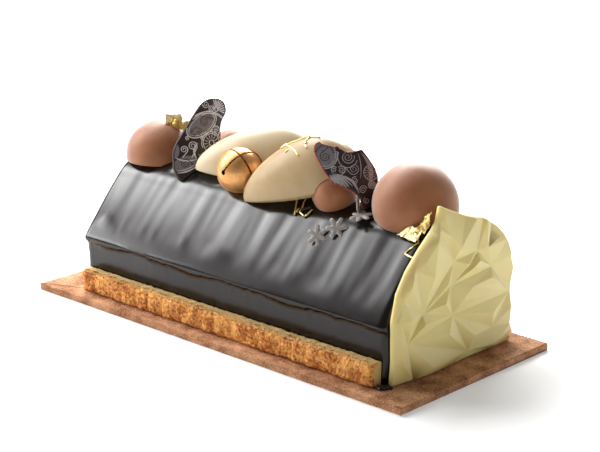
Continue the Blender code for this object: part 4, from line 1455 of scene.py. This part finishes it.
def leaf_sheet(name, corners, crumple_mm, seed, finish, cells=30):
    """A crumpled sheet between four corners given in millimetres."""
    a, b, c, d = (Vector(p) * MM for p in corners)
    up = (b - a).cross(d - a).normalized()
    points, faces = [], []
    for i in range(cells + 1):
        for j in range(cells + 1):
            s, t = i / cells, j / cells
            ragged = 0.10 * noise.noise(Vector((4 * s, 4 * t, seed)))
            s2, t2 = s + ragged * math.sin(math.pi * t * 2), t + ragged
            p = a.lerp(b, s2).lerp(d.lerp(c, s2), t2)
            ridge = 1 - 2 * abs(noise.noise(p * 330 + Vector((seed, 0, 0))))
            small = 1 - 2 * abs(noise.noise(p * 900 + Vector((0, seed, 0))))
            slide = noise.noise_vector(p * 500 + Vector((0, 0, seed))) * 0.35 * crumple_mm * MM
            points.append(p + up * (ridge + 0.4 * small) * crumple_mm * MM + slide)
    row = cells + 1
    for k in (i * row + j for i in range(cells) for j in range(cells)):
        faces.append((k, k + 1, k + row + 1, k + row))
    piece = make_piece(name, points, faces, finish, smooth=False)
    solid = piece.modifiers.new("thickness", "SOLIDIFY")
    solid.thickness = LEAF_THICK
    apply_modifiers(piece)
    put(piece, "gilt")


def strand(name, paths, radius_mm, finish=LEAF, slot="gilt"):
    """Short straight bars along each path, in millimetres, as one piece."""
    tubes = []
    for path in paths:
        knots = [Vector(p) * MM for p in path]
        line = [a.lerp(b, k / 4) for a, b in zip(knots, knots[1:]) for k in range(4)] + [knots[-1]]
        rings = []
        for i, p in enumerate(line):
            ahead = ahead_of(line, i).normalized()
            side = ahead.orthogonal().normalized()
            other = ahead.cross(side)
            swell = 1 + 0.25 * noise.noise(p * 700)
            rings.append([p + (side * math.cos(a) + other * math.sin(a)) * radius_mm * MM * swell
                          for a in full_turn(8)])
        tubes.append(loft(rings))
    put(make_piece(name, *joined(tubes), finish), slot)


# %% Gold on the left dome and by the end plate
leaf_sheet("dome_leaf_flat", [(-82.9, 3.0, 81.6), (-76.9, 8.4, 81.4), (-77.7, 8.8, 88.4),
                              (-84.3, 2.8, 88.6)], 0.35, 3.0, PALE_LEAF)
leaf_sheet("dome_leaf_crumpled", [(-81.7, 2.2, 81.6), (-73.7, 8.8, 80.6), (-73.9, 9.8, 85.2),
                                  (-79.9, 4.2, 86.4)], 1.1, 7.0, LEAF)
leaf_sheet("dome_leaf_curl", [(-82.1, 1.8, 81.8), (-79.3, 4.0, 81.2), (-79.1, 3.8, 84.2),
                              (-81.9, 1.6, 84.4)], 0.9, 21.0, LEAF, 16)
leaf_sheet("plate_leaf_flat", [(84.0, -14.6, 63.6), (95.6, -15.6, 62.6), (96.4, -11.0, 67.8),
                               (88.4, -11.0, 67.4)], 0.35, 5.0, PALE_LEAF)
leaf_sheet("plate_leaf_crumpled", [(92.6, -12.0, 65.4), (98.8, -12.0, 66.6), (98.9, -8.4, 75.4),
                                   (95.0, -8.6, 71.6)], 1.3, 11.0, LEAF)
leaf_sheet("plate_leaf_crumpled_over", [(95.2, -11.2, 67.4), (99.4, -11.6, 68.6),
                                        (99.3, -8.6, 75.6), (96.6, -8.9, 73.4)], 1.2, 15.0, LEAF, 20)
strand("plate_strand", [[(94.2, -12.9, 64.2), (96.2, -14.4, 62.6), (92.2, -19.1, 57.9),
                         (94.6, -19.7, 57.4), (97.6, -20.3, 57.2), (98.9, -18.8, 58.9)]], 0.42)

# %% [markdown]
# Last of all come the strands on the front egg, the crossed ones on the glaze with a chip of dark
# chocolate between them, and the rough lumps of couverture that were left at the foot of the log.

# %% Strands, chip and lumps
strand("egg_strands", [
    [(8.2, -8.9, 88.6), (9.2, -6.6, 90.6), (10.8, -7.4, 90.4), (13.4, -6.6, 92.2),
     (16.4, -5.6, 93.2)],
    [(8.8, -9.6, 88.9), (11.4, -8.4, 90.6), (13.2, -9.4, 90.6)],
    [(15.2, -6.0, 92.9), (19.0, -4.4, 94.7), (21.4, -3.4, 96.2), (21.9, -4.0, 95.1)],
    [(21.2, -3.6, 95.6), (27.4, -2.5, 95.9)],
    [(12.0, -8.8, 90.6), (17.6, -11.3, 90.6), (20.9, -12.5, 89.9), (23.5, -13.4, 88.7)],
    [(16.0, -10.5, 90.4), (15.0, -13.0, 88.6)],
    [(22.0, -4.4, 95.2), (22.8, -8.6, 93.4), (25.9, -10.2, 92.1)],
    [(22.8, -8.6, 93.4), (24.2, -7.6, 93.8)]], 0.34)
strand("glaze_strands", [
    [(19.2, -9.0, 66.9), (21.1, -11.7, 65.2), (24.2, -16.3, 61.1)],
    [(24.0, -15.0, 62.1), (24.2, -13.2, 63.6)],
    [(24.0, -7.9, 67.6), (24.8, -10.8, 65.8), (26.2, -13.5, 63.6), (25.9, -14.8, 62.5),
     (30.1, -16.1, 61.4), (31.3, -14.7, 62.6), (31.8, -12.5, 64.4)]], 0.45)
strand("dark_chip", [[(25.9, -14.0, 63.0), (27.8, -12.7, 63.9), (29.8, -11.3, 64.8)]], 0.75, DARK,
       "printed_chocolate")
lumps = [Vector(p) * MM for p in ((97.4, -43.6, 4.2), (100.2, -42.6, 4.0), (102.6, -38.6, 4.0))]
scatter("couverture_lumps", "glaze", lumps, 3.2 * MM, DARK, 2.4e6, 0.25, 0.95, 12)
